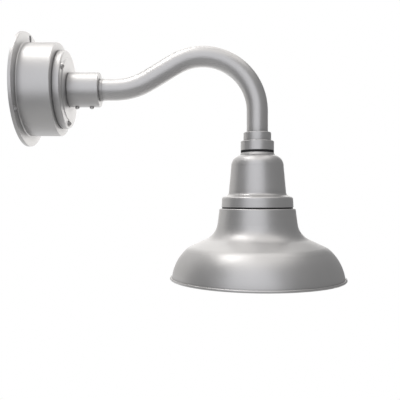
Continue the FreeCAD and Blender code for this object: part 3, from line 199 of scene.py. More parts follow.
def new_material(name):
    """An empty node material, the board of its tree and its surface point in metres."""
    material = bpy.data.materials.new(name)
    material.use_nodes = True
    material.node_tree.nodes.clear()
    board = Board(material.node_tree)
    return material, board, board.add("ShaderNodeTexCoord", output="Object")


def finish_material(board, **sockets):
    """Close a material with one principled shader; spaces in names are underscores."""
    inputs = {name.replace("_", " "): content for name, content in sockets.items()}
    surface = board.add("ShaderNodeBsdfPrincipled", inputs=inputs)
    board.add("ShaderNodeOutputMaterial", inputs={"Surface": surface})


def noise(board, point, grain, detail=2.0, output="Fac"):
    """Noise whose lumps are about grain metres across, from 0 to 1."""
    inputs = {"Vector": point, "Scale": 1.0 / grain, "Detail": detail}
    return board.add("ShaderNodeTexNoise", inputs=inputs, output=output)


def bump(board, height, depth, normal=None):
    """A normal for a height from 0 to 1 that stands for depth metres."""
    inputs = {"Height": height, "Distance": depth, "Strength": 1.0, "Normal": normal}
    return board.add("ShaderNodeBump", inputs=inputs)


def mixed(board, first, second, amount):
    """A colour between two colours, by an amount from 0 to 1."""
    inputs = {0: amount, 6: first, 7: second}
    return board.add("ShaderNodeMix", {"data_type": "RGBA"}, inputs, output=2)


def opaque(colour, share=1.0):
    """A colour made darker or lighter by a share, with full alpha."""
    return (*(min(channel * share, 1.0) for channel in colour), 1.0)


def centred(board, point, centre):
    """The point measured from a centre."""
    minus = tuple(-place for place in centre)
    inputs = {"Vector": point, "Location": minus}
    return board.add("ShaderNodeMapping", {"vector_type": "POINT"}, inputs)


def round_place(board, point, centre, axis):
    """How far a point is along an axis and how far out from it."""
    parts = board.split(centred(board, point, centre))
    across = [parts[letter] for letter in "XYZ" if letter != axis]
    distance = (across[0] ** 2.0 + across[1] ** 2.0) ** 0.5
    return parts[axis], distance


def turning_lines(board, point, centre, axis, pitch):
    """Fine lines left by turning about an axis, from 0 to 1."""
    along, distance = round_place(board, point, centre, axis)
    # The two distances are mixed unevenly, so that no cone is left without lines.
    line = along + distance * 1.7
    inputs = {"W": line, "Scale": 1.0 / pitch, "Detail": 3.0}
    settings = {"noise_dimensions": "1D"}
    return board.add("ShaderNodeTexNoise", settings, inputs, output="Fac")


# Settings --------------------------------------------------------------------------


def length(name, description, metres):
    return FloatProperty(
        name=name, description=description, default=metres, min=0.0, precision=5,
        subtype="DISTANCE", unit="LENGTH",
    )


def angle(name, description, degrees):
    return FloatProperty(
        name=name, description=description, default=math.radians(degrees),
        subtype="ANGLE", unit="ROTATION",
    )


def share(name, description, default, highest=1.0):
    return FloatProperty(
        name=name, description=description, default=default, min=0.0, max=highest,
        subtype="FACTOR",
    )


def colour(name, description, red, green, blue):
    return FloatVectorProperty(
        name=name, description=description, default=(red, green, blue), size=3,
        min=0.0, max=1.0, subtype="COLOR",
    )


class SconceShape(bpy.types.PropertyGroup):
    """Sizes of the pieces that this file makes."""

    tube_diameter: length("Tube diameter", "Outside diameter of the arm tube", 0.025)
    tube_wall: length("Tube wall", "Wall thickness of the arm tube", 0.002)
    bend_start: length("Bend start", "Where the tube first leaves the hub's axis", 0.1035)
    rise_angle: angle("Rise angle", "Slope of the tube between its two bends", 31.3)
    rise_bend: length("Rise bend", "Centre-line radius of the first bend", 0.077)
    drop_bend: length("Drop bend", "Centre-line radius of the crest", 0.0643)
    groove_start: length("Groove start", "Where the clip's groove begins", 0.036)
    groove_width: length("Groove width", "Width of the clip's groove", 0.0012)
    groove_depth: length("Groove depth", "Depth of the clip's groove", 0.0008)
    shank_diameter: length("Shank diameter", "Machine screw's thread diameter", 0.004)
    head_diameter: length("Head diameter", "Machine screw's head diameter", 0.007)
    head_rim: length("Head rim", "Straight height of a machine screw's head", 0.001)
    head_dome: length("Head dome", "Height of the dome above the rim", 0.002)
    socket_flats: length("Socket flats", "Width of a hexagon socket across its flats", 0.0025)
    recess_depth: length("Recess depth", "Depth of a screw's drive recess", 0.0014)
    thread_pitch: length("Thread pitch", "Distance from one thread to the next", 0.0007)
    tube_sides: IntProperty(
        name="Tube sides", description="Faces round the arm tube", default=96, min=16,
    )


class SconceFinish(bpy.types.PropertyGroup):
    """Colours and grain of the finishes."""

    coat: colour("Coat", "Silver powder coat", 0.57, 0.565, 0.565)
    coat_roughness: share("Coat roughness", "Roughness of the powder coat", 0.43)
    coat_metal: share("Coat metal", "How metallic the powder coat is", 0.92)
    # Painted shade: how dark the coat's colour is made where ambient occlusion finds a corner,
    # hole or joint.
    painted_corner_shade: share("Coat corner", "Brightness of the coat deep in a corner", 0.45)
    paint_roughness: share("Paint roughness", "Roughness of the paint in the shade", 0.42)
    coat_grain: length("Coat grain", "Size of the coat's fine texture", 0.0009)
    coat_peel: length("Coat peel", "Size of the coat's slow ripple", 0.0045)
    screw_steel: colour("Screw steel", "Stainless screw heads", 0.60, 0.59, 0.58)
    zinc: colour("Zinc", "Zinc-plated hidden hardware", 0.62, 0.64, 0.66)
    aluminium: colour("Aluminium", "Bare turned aluminium", 0.72, 0.73, 0.74)
    rubber: colour("Rubber", "Black rubber seals", 0.022, 0.022, 0.024)
    seam_rubber: colour("Seam rubber", "Grey seals of the wall mount", 0.28, 0.28, 0.28)
    white_paint: colour("White paint", "White inside of shade and reflector", 0.82, 0.82, 0.80)
    opal: colour("Opal", "Frosted lens", 0.90, 0.90, 0.88)
    phosphor: colour("Phosphor", "Yellow tops of the light-emitting chips", 0.86, 0.62, 0.10)
    driver_shell: colour("Driver shell", "Plastic shell of the driver", 0.74, 0.74, 0.72)
    terminal_shell: colour("Terminal shell", "Plastic of the terminal block", 0.78, 0.76, 0.66)
    zinc_cast: colour("Zinc cast", "Yellow cast in patches of the zinc", 0.66, 0.62, 0.50)
    board_mask: colour("Board mask", "White mask of the chip board", 0.80, 0.81, 0.78)
    board_track: colour("Board track", "Tracks under the board's mask", 0.70, 0.70, 0.64)
    chip_case: colour("Chip case", "White case of each chip", 0.82, 0.82, 0.78)
    ground_dark: colour("Ground dark", "Darker green of the ground screw", 0.03, 0.22, 0.07)
    ground_light: colour("Ground light", "Paler green of the ground screw", 0.06, 0.36, 0.13)
    copper: colour("Copper", "Ring lug under its tin", 0.70, 0.62, 0.54)
    live_lead: colour("Live lead", "Insulation of the live lead", 0.035, 0.035, 0.038)
    neutral_lead: colour("Neutral lead", "Insulation of the neutral lead", 0.78, 0.78, 0.76)
    earth_lead: colour("Earth lead", "Insulation of the earth lead", 0.03, 0.30, 0.07)
    earth_stripe: colour("Earth stripe", "Stripe along the earth lead", 0.80, 0.66, 0.05)


class SconceStudio(bpy.types.PropertyGroup):
    """Camera, lamps and floor."""

    camera_place: FloatVectorProperty(
        name="Camera place", description="Where the camera stands", size=3,
        default=(0.2045, -0.6413, -0.130), subtype="TRANSLATION", unit="LENGTH",
    )
    focal_length: FloatProperty(
        name="Focal length", description="Focal length on a 36 mm sensor, in millimetres",
        default=48.843, min=1.0,
    )
    floor_height: FloatProperty(
        name="Floor height", description="Height of the floor under the wall mount",
        default=-1.0, subtype="DISTANCE", unit="LENGTH",
    )
    soft_level: share("Soft level", "World light on matt surfaces", 0.35, 4.0)
    key_level: share("Key level", "Brightness of the softbox overhead", 2.2, 10.0)
    rear_level: share("Rear level", "Brightness of the softbox behind", 2.2, 10.0)
    flag_level: share("Flag level", "Brightness of the dark cards at the sides", 0.30)


# Finishes --------------------------------------------------------------------------


def coat_layers(board, point, finish, axis, centre, line_depth):
    """Colour with painted shade in its corners, roughness and normal of the silver coat, for one
    turned or cast piece.
    """
    flake = noise(board, point, 0.35 * MM, 1.0)
    cloud = noise(board, point, 28.0 * MM, 2.0)
    grain = noise(board, point, finish.coat_grain, 3.0)
    peel = noise(board, point, finish.coat_peel, 1.0)
    tone = board.clamped(flake * 0.5 + cloud * 0.5)
    silver = mixed(board, opaque(finish.coat, 0.92), opaque(finish.coat, 1.08), tone)
    # Painted shade: ambient occlusion over 9 mm darkens the coat's colour in corners, holes and
    # the joints between parts.
    rays = {"samples": 8}
    unshaded_share = board.add("ShaderNodeAmbientOcclusion", rays, {"Distance": 9.0 * MM}, "AO")
    silver = mixed(board, opaque(finish.coat, finish.painted_corner_shade), silver, unshaded_share)
    roughness = finish.coat_roughness + (cloud - 0.5) * 0.08 + (flake - 0.5) * 0.10
    normal = bump(board, grain, 0.022 * MM)
    normal = bump(board, peel, 0.05 * MM, normal)
    lines = turning_lines(board, point, centre, axis, 0.8 * MM)
    normal = bump(board, lines, line_depth, normal)
    return silver, roughness, normal


def silver_coat(finish, name, axis="X", centre=HUB_AXIS, line_depth=0.004 * MM):
    """Satin silver powder coat with its fine texture and faint turning lines."""
    material, board, point = new_material(name)
    coat = coat_layers(board, point, finish, axis, centre, line_depth)
    silver, roughness, normal = coat
    finish_material(
        board, Base_Color=silver, Metallic=finish.coat_metal, Roughness=roughness,
        Normal=normal,
    )
    return material


def shade_coat(finish, name):
    """Silver coat outside and white paint inside, told apart by where a face looks."""
    material, board, point = new_material(name)
    coat = coat_layers(board, point, finish, "Z", LAMP_AXIS, 0.008 * MM)
    silver, roughness, normal = coat
    out = board.split(centred(board, point, LAMP_AXIS))
    facing = board.split(board.add("ShaderNodeTexCoord", output="Normal"))
    reach = (out["X"] ** 2.0 + out["Y"] ** 2.0) ** 0.5
    outwards = (facing["X"] * out["X"] + facing["Y"] * out["Y"]) / reach
    # Every outer face looks out, up or both; every inner one looks in, down or both.
    inside = (outwards + facing["Z"]) < 0.0
    cloud = noise(board, point, 25.0 * MM)
    white = mixed(board, opaque(finish.white_paint, 0.97), opaque(finish.white_paint), cloud)
    surface = mixed(board, silver, white, inside)
    # The coat's own texture runs on under the paint, and the two meet at the rim's bead.
    rough = roughness + inside * (finish.paint_roughness - finish.coat_roughness)
    metal = finish.coat_metal - inside * finish.coat_metal
    finish_material(board, Base_Color=surface, Metallic=metal, Roughness=rough, Normal=normal)
    return material


def speckled(name, tone, shares, cloud, marks, roughness, depth, **sockets):
    """A finish whose colour drifts in clouds and whose skin has fine marks.

    shares are the darkest and palest share of the tone, cloud and marks are (grain,
    detail), roughness is (least, spread) and depth is how high the marks stand.
    """
    material, board, point = new_material(name)
    drift = noise(board, point, *cloud)
    fine = noise(board, point, *marks)
    darkest, palest = shares
    surface = mixed(board, opaque(tone, darkest), opaque(tone, palest), drift)
    least, spread = roughness
    finish_material(
        board, Base_Color=surface, Roughness=least + fine * spread,
        Normal=bump(board, fine, depth), **sockets,
    )
    return material


def screw_steel(finish, name):
    """Stainless screw metal with fine marks of turning and handling."""
    return speckled(
        name, finish.screw_steel, (0.86, 1.1), (3.0 * MM, 2.0), (0.3 * MM, 3.0),
        (0.26, 0.16), 0.006 * MM, Metallic=1.0,
    )


def zinc_plate(finish, name):
    """Bright zinc plate: small spangles with a faint yellow and blue cast."""
    material, board, point = new_material(name)
    spangle = board.add(
        "ShaderNodeTexVoronoi", {"feature": "F1"}, {"Vector": point, "Scale": 1.0 / (2.5 * MM)},
        output="Color",
    )
    cell = board.split(spangle)["X"]
    cast = noise(board, point, 14.0 * MM, 2.0)
    plain = mixed(board, opaque(finish.zinc, 0.9), opaque(finish.zinc, 1.06), cell)
    warm = mixed(board, plain, opaque(finish.zinc_cast), board.clamped(cast * 1.6 - 0.7))
    finish_material(
        board, Base_Color=warm, Metallic=1.0, Roughness=0.30 + cell * 0.14 + cast * 0.06,
        Normal=bump(board, noise(board, point, 0.5 * MM, 3.0), 0.006 * MM),
    )
    return material


def turned_aluminium(finish, name):
    """Bare aluminium of the heat sink, with the lathe's lines round the lamp's axis."""
    material, board, point = new_material(name)
    lines = turning_lines(board, point, LAMP_AXIS, "Z", 0.45 * MM)
    stain = noise(board, point, 9.0 * MM, 3.0)
    bare = mixed(board, opaque(finish.aluminium, 0.84), opaque(finish.aluminium, 1.05), stain)
    finish_material(
        board, Base_Color=bare, Metallic=1.0, Roughness=0.28 + lines * 0.16,
        Normal=bump(board, lines, 0.012 * MM),
    )
    return material


def rubber(tone, name):
    """Moulded rubber: dry, with a pale bloom in patches."""
    return speckled(
        name, tone, (0.8, 1.5), (4.0 * MM, 4.0), (0.25 * MM, 2.0), (0.66, 0.18), 0.02 * MM,
        Specular_IOR_Level=0.35,
    )


def white_paint(finish, name):
    """Smooth white paint of the reflector, with the faint ripple of a sprayed coat."""
    return speckled(
        name, finish.white_paint, (0.96, 1.03), (16.0 * MM, 2.0), (2.2 * MM, 2.0),
        (0.34, 0.08), 0.02 * MM,
    )


def frosted_opal(finish, name):
    """Opal plastic lens, blasted fine so that the chips behind only glow through."""
    return speckled(
        name, finish.opal, (0.97, 1.02), (12.0 * MM, 2.0), (0.4 * MM, 3.0), (0.42, 0.16),
        0.015 * MM, IOR=1.49, Transmission_Weight=0.35, Subsurface_Weight=0.25,
        Subsurface_Radius=(2.0 * MM, 2.0 * MM, 1.8 * MM),
    )


def moulded_plastic(tone, name, roughness=0.46):
    """Moulded plastic with a fine spark-eroded texture and faint flow marks."""
    return speckled(
        name, tone, (0.94, 1.04), (11.0 * MM, 2.0), (0.35 * MM, 3.0), (roughness, 0.12),
        0.018 * MM,
    )


def lead_jacket(tone, name):
    """Soft insulation, smeared a little by its making."""
    smear = (1.6 * MM, 2.0)
    return speckled(name, tone, (0.9, 1.15), smear, smear, (0.38, 0.12), 0.01 * MM)


def supply_jackets(finish, name):
    """Black live lead and white neutral lead, told apart by the side they lie on."""
    material, board, point = new_material(name)
    low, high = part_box("supply_leads")
    live = board.split(point)["Y"] > (low.y + high.y) / 2.0
    smear = noise(board, point, 1.6 * MM, 2.0)
    white = mixed(board, opaque(finish.neutral_lead, 0.95), opaque(finish.neutral_lead), smear)
    black = mixed(board, opaque(finish.live_lead, 0.8), opaque(finish.live_lead, 1.4), smear)
    finish_material(
        board, Base_Color=mixed(board, white, black, live), Roughness=0.36 + smear * 0.12,
        Normal=bump(board, smear, 0.01 * MM),
    )
    return material


def earth_jacket(finish, name):
    """Green insulation with a yellow stripe along its run."""
    material, board, point = new_material(name)
    smear = noise(board, point, 1.6 * MM, 2.0)
    low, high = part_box("earth_lead")
    # The stripe is on the side that looks out of the drum, over the lead's whole run.
    stripe = board.split(point)["X"] > (low.x + 3.0 * high.x) / 4.0
    green = mixed(board, opaque(finish.earth_lead, 0.85), opaque(finish.earth_lead, 1.2), smear)
    finish_material(
        board, Base_Color=mixed(board, green, opaque(finish.earth_stripe), stripe),
        Roughness=0.36 + smear * 0.12, Normal=bump(board, smear, 0.01 * MM),
    )
    return material


def chip_board(finish, name):
    """White board mask with faint ring tracks under it, round the lamp's axis."""
    material, board, point = new_material(name)
    along, distance = round_place(board, point, LAMP_AXIS, "Z")
    ring = board.add("ShaderNodeMath", {"operation": "PINGPONG"}, [distance, 4.5 * MM])
    track = board.clamped((ring - 3.0 * MM) * (1.0 / (0.4 * MM)))
    speck = noise(board, point, 0.3 * MM)
    mask = mixed(board, opaque(finish.board_mask), opaque(finish.board_track), track)
    finish_material(
        board, Base_Color=mask, Roughness=0.34 + speck * 0.1,
        Normal=bump(board, track, 0.04 * MM),
    )
    return material


def phosphor_chips(finish, name):
    """White package with a round yellow top, repeated at each chip's own place."""
    material, board, point = new_material(name)
    grain = noise(board, point, 0.2 * MM, 2.0)
    low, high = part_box("led_chips")
    face = board.split(point)["Z"] < (low.z + 0.1 * MM)
    yellow = mixed(board, opaque(finish.phosphor, 0.9), opaque(finish.phosphor, 1.08), grain)
    finish_material(
        board, Base_Color=mixed(board, opaque(finish.chip_case), yellow, face),
        Roughness=0.4 + grain * 0.2, Normal=bump(board, grain, 0.01 * MM),
    )
    return material


def tinned_copper(finish, name):
    """Tinned lug, with copper showing faintly where the tin is thin."""
    material, board, point = new_material(name)
    wear = noise(board, point, 1.2 * MM, 4.0)
    tin = mixed(board, opaque(finish.zinc), opaque(finish.copper), board.clamped(wear * 2.0 - 1.0))
    finish_material(
        board, Base_Color=tin, Metallic=1.0, Roughness=0.26 + wear * 0.2,
        Normal=bump(board, wear, 0.01 * MM),
    )
    return material


def green_steel(finish, name):
    """Green passivated steel of the ground screw."""
    material, board, point = new_material(name)
    marks = noise(board, point, 0.5 * MM, 3.0)
    green = mixed(board, opaque(finish.ground_dark), opaque(finish.ground_light), marks)
    finish_material(
        board, Base_Color=green, Metallic=0.8, Roughness=0.3 + marks * 0.15,
        Normal=bump(board, marks, 0.01 * MM),
    )
    return material


# Pieces ----------------------------------------------------------------------------


def dress(material, *nodes):
    """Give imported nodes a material, in the slots that they already have."""
    for node in nodes:
        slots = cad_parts[node].material_slots
        if not slots:
            raise RuntimeError(f"{node} has no material slot")
        for place in slots:
            place.material = material


def add_object(name, data):
    """A new object of the scene, at the origin."""
    thing = bpy.data.objects.new(name, data)
    bpy.context.scene.collection.objects.link(thing)
    return thing


def place_piece(name, mesh, body, replaced):
    """Show a finished mesh as a piece that rides on its body."""
    piece = add_object(name, mesh)
    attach(piece, body)
    if replaced:
        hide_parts(*replaced)
    return piece


def smooth(mesh, sharp_angle=32.0):
    """Shade a mesh smooth, apart from its edges sharper than an angle in degrees."""
    mesh.shade_smooth()
    mesh.set_sharp_from_angle(angle=math.radians(sharp_angle))


def check_closed(mesh):
    """Stop where a mesh has an open or doubled edge, or faces that look inwards."""
    shape = bmesh.new()
    shape.from_mesh(mesh)
    open_edges = sum(not edge.is_manifold for edge in shape.edges)
    volume = shape.calc_volume(signed=True)
    shape.free()
    if open_edges or volume <= 0.0:
        raise RuntimeError(f"{mesh.name}: {open_edges} open edges, volume {volume:.3e}")


def new_tree(name, inputs):
    """A geometry tree with named inputs: the tree, its board and the input signals."""
    tree = bpy.data.node_groups.new(name, "GeometryNodeTree")
    for label, kind in inputs.items():
        tree.interface.new_socket(name=label, in_out="INPUT", socket_type=kind)
    tree.interface.new_socket(
        name="Geometry", in_out="OUTPUT", socket_type="NodeSocketGeometry"
    )
    board = Board(tree)
    entry = tree.nodes.new("NodeGroupInput")
    given = {label: Signal(board, entry.outputs[label]) for label in inputs}
    return tree, board, given


def close_tree(board, geometry, finish):
    """End a tree: real faces, with their finish on them."""
    real = board.add("GeometryNodeRealizeInstances", inputs=[geometry])
    inputs = {"Geometry": real, "Material": finish}
    board.add("NodeGroupOutput", inputs=[board.add("GeometryNodeSetMaterial", inputs=inputs)])


def grow(name, tree, values):
    """The plain mesh that a geometry tree gives for named input values."""
    holder = add_object(f"{name}_seed", bpy.data.meshes.new(f"{name}_seed"))
    modifier = holder.modifiers.new("tree", "NODES")
    modifier.node_group = tree
    for socket in tree.interface.items_tree:
        if socket.in_out == "INPUT":
            modifier[socket.identifier] = values[socket.name]
    graph = bpy.context.evaluated_depsgraph_get()
    mesh = bpy.data.meshes.new_from_object(holder.evaluated_get(graph))
    mesh.name = name
    holder.modifiers.remove(modifier)
    bpy.data.objects.remove(holder)
    return mesh


FLOAT = "NodeSocketFloat"
WHOLE = "NodeSocketInt"
VECTOR = "NodeSocketVector"
ROTATION = "NodeSocketRotation"
MATERIAL = "NodeSocketMaterial"
OBJECT = "NodeSocketObject"
# The groove's side walls lean by this much, so that they keep a direction.
NUDGE = 0.02 * MM
BEND_STEPS = 40
DOME_STEPS = 6
SCREW_SIDES = 48


def gooseneck_tree():
    """A tube along straight runs and tangent arcs, with a bore and a clip's groove."""
    tree, board, given = new_tree("Gooseneck", {
        "Inner end": FLOAT, "Groove start": FLOAT, "Groove width": FLOAT,
        "Groove depth": FLOAT, "Bend start": FLOAT, "Rise angle": FLOAT,
        "Rise bend": FLOAT, "Reach": FLOAT, "Drop bend": FLOAT, "Outer end": FLOAT,
        "Radius": FLOAT, "Wall": FLOAT, "Sides": WHOLE, "Finish": MATERIAL,
    })
    # The centre line's corners; the two bends are fillets of the last inner two.
    half_rise = (given["Rise angle"] * 0.5).math("TANGENT", given["Rise angle"] * 0.5)
    rise_corner = given["Bend start"] + given["Rise bend"] * half_rise
    slope = given["Rise angle"].math("TANGENT", given["Rise angle"])
    crest = (given["Reach"] - rise_corner) * slope
    groove_end = given["Groove start"] + given["Groove width"]
    corners = [
        (given["Inner end"], 0.0), (given["Groove start"], 0.0),
        (given["Groove start"] + NUDGE, 0.0), (groove_end - NUDGE, 0.0), (groove_end, 0.0),
        (rise_corner, 0.0), (given["Reach"], crest), (given["Reach"], given["Outer end"]),
    ]
    index = board.add("GeometryNodeInputIndex")

    def by_corner(kind, values):
        """One value for each corner, by its number along the line."""
        settings = {"data_type": kind, "choices": len(values)}
        inputs = {"Index": index}
        inputs.update({number + 1: content for number, content in enumerate(values)})
        return board.add("GeometryNodeIndexSwitch", settings, inputs)

    places = by_corner("VECTOR", [board.vector(x, 0.0, z) for x, z in corners])
    bends = by_corner("FLOAT", [0.0] * 5 + [given["Rise bend"], given["Drop bend"], 0.0])
    waist = 1.0 - given["Groove depth"] / given["Radius"]
    widths = by_corner("FLOAT", [1.0, 1.0, waist, waist, 1.0, 1.0, 1.0, 1.0])
    line = board.add("GeometryNodeMeshLine", inputs={"Count": len(corners)})
    line = board.add("GeometryNodeSetPosition", inputs={"Geometry": line, "Position": places})
    line = board.add("GeometryNodeMeshToCurve", inputs=[line])
    waisted = board.add("GeometryNodeSetCurveRadius", inputs={"Curve": line, "Radius": widths})
    even = board.add("GeometryNodeSetCurveRadius", inputs={"Curve": line, "Radius": 1.0})
    bore = given["Radius"] - given["Wall"]
    width = board.add("GeometryNodeInputRadius")
    walls = []
    for run, radius in ((waisted, given["Radius"]), (even, bore)):
        inputs = {"Curve": run, "Count": BEND_STEPS, "Radius": bends}
        run = board.add("GeometryNodeFilletCurve", {"mode": "POLY"}, inputs)
        inputs = {"Resolution": given["Sides"], "Radius": radius}
        ring = board.add("GeometryNodeCurvePrimitiveCircle", inputs=inputs)
        inputs = {"Curve": run, "Profile Curve": ring, "Scale": width}
        walls.append(board.add("GeometryNodeCurveToMesh", inputs=inputs))
    close_tree(board, board.joined(walls), given["Finish"])
    return tree


def make_gooseneck(shape, material):
    """The arm tube as one closed mesh, from the hub's inner end to the collar."""
    low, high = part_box("gooseneck_tube")
    radius = shape.tube_diameter / 2.0
    mesh = grow("gooseneck", gooseneck_tree(), {
        "Inner end": low.x, "Groove start": shape.groove_start,
        "Groove width": shape.groove_width, "Groove depth": shape.groove_depth,
        "Bend start": shape.bend_start, "Rise angle": shape.rise_angle,
        "Rise bend": shape.rise_bend, "Reach": high.x - radius,
        "Drop bend": shape.drop_bend, "Outer end": low.z, "Radius": radius,
        "Wall": shape.tube_wall, "Sides": shape.tube_sides, "Finish": material,
    })
    close_ends(mesh)
    smooth(mesh)
    check_closed(mesh)
    place_piece("gooseneck", mesh, ARM_BODY, ["gooseneck_tube"])


def close_ends(mesh):
    """Join the outer and inner walls of a tube by a flat ring at each open end."""
    shape = bmesh.new()
    shape.from_mesh(mesh)
    rims = [edge for edge in shape.edges if edge.is_boundary]
    inner = [edge for edge in rims if edge.verts[0].co.x < LAMP_AXIS.x / 2.0]
    outer = [edge for edge in rims if edge not in inner]
    for rim in (inner, outer):
        bmesh.ops.bridge_loops(shape, edges=rim)
    bmesh.ops.recalc_face_normals(shape, faces=shape.faces)
    shape.to_mesh(mesh)
    shape.free()


# Screws ----------------------------------------------------------------------------


def hexagon(flats):
    """How far a hexagon's edge is from its middle, at an angle."""
    sixth = FULL_TURN / 6.0
    return lambda turn: flats / 2.0 / math.cos(turn % sixth - sixth / 2.0)


def cross(reach, arm):
    """How far a cross recess's edge is from its middle, at an angle."""
    def edge(turn):
        off = abs((turn + QUARTER_TURN / 2.0) % QUARTER_TURN - QUARTER_TURN / 2.0)
        return min(reach / math.cos(off), arm / max(math.sin(off), arm / reach / 2.0))
    return edge


def slot(reach, width):
    """How far a slot's edge is from its middle, at an angle."""
    def edge(turn):
        long_way = reach / max(abs(math.cos(turn)), 0.001)
        return min(long_way, width / 2.0 / max(abs(math.sin(turn)), 0.001))
    return edge


def turned(name, rings, sides=SCREW_SIDES):
    """A closed mesh from rings up the Z axis; a ring gives (height, reach) at an angle."""
    shape = bmesh.new()
    loops = []
    for ring in rings:
        loop = []
        for side in range(sides):
            turn = FULL_TURN * side / sides
            height, reach = ring(turn)
            loop.append(shape.verts.new((reach * math.cos(turn), reach * math.sin(turn), height)))
        loops.append(loop)
    for below, above in zip(loops, loops[1:]):
        for side in range(sides):
            after = (side + 1) % sides
            shape.faces.new((below[side], below[after], above[after], above[side]))
    shape.faces.new(reversed(loops[0]))
    shape.faces.new(loops[-1])
    bmesh.ops.recalc_face_normals(shape, faces=shape.faces)
    mesh = bpy.data.meshes.new(name)
    shape.to_mesh(mesh)
    shape.free()
    return mesh


def screw_blank(name, shank, head, recess):
    """A screw on its seat, head up: shank is (radius, length, thread pitch), head is
    (radius, rim, dome) and recess is (edge, depth)."""
    shank_radius, shank_length, pitch = shank
    head_radius, rim, dome = head
    edge, depth = recess
    ball = (head_radius ** 2 + dome ** 2) / (2.0 * dome)

    def crown(reach):
        return rim + dome - ball + math.sqrt(max(ball ** 2 - reach ** 2, 0.0))

    def level(height, reach):
        return lambda turn: (height, reach)

    def on_dome(factor):
        return lambda turn: (crown(edge(turn) * factor), edge(turn) * factor)

    thread_depth = 0.3 * pitch
    turns = int((shank_length - pitch) / pitch)
    rings = [level(-shank_length, shank_radius - 2.0 * thread_depth)]
    for turn in range(turns):
        height = -shank_length + pitch * (turn + 0.5)
        rings.append(level(height, shank_radius))
        rings.append(level(height + pitch / 2.0, shank_radius - thread_depth))
    rings.append(level(-pitch / 2.0, shank_radius - thread_depth))
    rings.append(level(0.0, shank_radius - thread_depth))
    # The head's lower edge is broken a little, and its dome stops short of the recess.
    rings.append(level(0.0, head_radius * 0.97))
    rings.append(level(0.08 * rim, head_radius))
    widest = max(edge(FULL_TURN * side / SCREW_SIDES) for side in range(SCREW_SIDES))
    for part in range(DOME_STEPS):
        reach = head_radius + (widest * 1.08 - head_radius) * part / (DOME_STEPS - 1)
        rings.append(level(crown(reach), reach))
    rings.append(on_dome(1.0))
    floor = rim + dome - depth
    # The recess narrows towards its floor.
    rings.append(lambda turn: (floor, edge(turn) * 0.92))
    return turned(name, rings)


def pattern_tree():
    """Copies of one screw in rows of rings round an axis, then turned into place."""
    tree, board, given = new_tree("Screw pattern", {
        "Screw": OBJECT, "Count": WHOLE, "Ring radius": FLOAT, "First angle": FLOAT,
        "Rows": WHOLE, "Row pitch": FLOAT, "Tilt": ROTATION, "Turn": ROTATION,
        "Centre": VECTOR, "Seed": WHOLE, "Finish": MATERIAL,
    })
    index = board.add("GeometryNodeInputIndex")
    row = (index / given["Count"]).math("FLOOR", index / given["Count"])
    place = index - row * given["Count"]
    turn = given["First angle"] + place * FULL_TURN / given["Count"]
    across = given["Ring radius"] * turn.math("COSINE", turn)
    along = given["Ring radius"] * turn.math("SINE", turn)
    spot = board.vector(across, along, row * given["Row pitch"])
    inputs = {"Count": given["Rows"] * given["Count"]}
    points = board.add("GeometryNodeMeshLine", inputs=inputs)
    points = board.add("GeometryNodeSetPosition", inputs={"Geometry": points, "Position": spot})
    # Each screw stops at a drive angle of its own.
    inputs = {3: FULL_TURN, "Seed": given["Seed"]}
    spin = board.add("FunctionNodeRandomValue", {"data_type": "FLOAT"}, inputs, output=1)
    round_axis = {"Axis": (0.0, 0.0, 1.0)}
    drive = board.add("FunctionNodeAxisAngleToRotation", inputs={**round_axis, "Angle": spin})
    facing = board.add("FunctionNodeAxisAngleToRotation", inputs={**round_axis, "Angle": turn})
    local = {"rotation_space": "LOCAL"}
    facing = board.add("FunctionNodeRotateRotation", local, [facing, given["Tilt"]])
    facing = board.add("FunctionNodeRotateRotation", local, [facing, drive])
    screw = board.add("GeometryNodeObjectInfo", inputs=[given["Screw"]], output="Geometry")
    inputs = {"Points": points, "Instance": screw, "Rotation": facing}
    copies = board.add("GeometryNodeInstanceOnPoints", inputs=inputs)
    inputs = {"Geometry": copies, "Rotation": given["Turn"], "Translation": given["Centre"]}
    close_tree(board, board.add("GeometryNodeTransform", inputs=inputs), given["Finish"])
    return tree


def lay_screws(name, tree, blank, values, body, replaced):
    """One piece of all the copies of a screw."""
    source = add_object(f"{name}_blank", blank)
    mesh = grow(name, tree, {"Screw": source, "Seed": len(name), **values})
    bpy.data.objects.remove(source)
    smooth(mesh)
    check_closed(mesh)
    place_piece(name, mesh, body, replaced)


def pattern(centre, turn, count=1, ring=0.0, first=0.0, rows=1, pitch=0.0, tilt=0.0):
    """Input values of the screw pattern: first, tilt and the three of turn in degrees."""
    return {
        "Count": count, "Ring radius": ring, "First angle": math.radians(first),
        "Rows": rows, "Row pitch": pitch, "Tilt": (0.0, math.radians(tilt), 0.0),
        "Turn": tuple(math.radians(part) for part in turn), "Centre": tuple(centre),
    }


# Each turn puts the pattern's own Z axis along the axis that its name says.
OUT_OF_WALL = (0.0, 90.0, 0.0)
TO_WALL = (0.0, -90.0, 0.0)
DOWNWARDS = (180.0, 0.0, 0.0)
UPWARDS = (0.0, 0.0, 0.0)
SIDEWAYS = (-90.0, 0.0, 0.0)
OUTWARD_TILT = 90.0


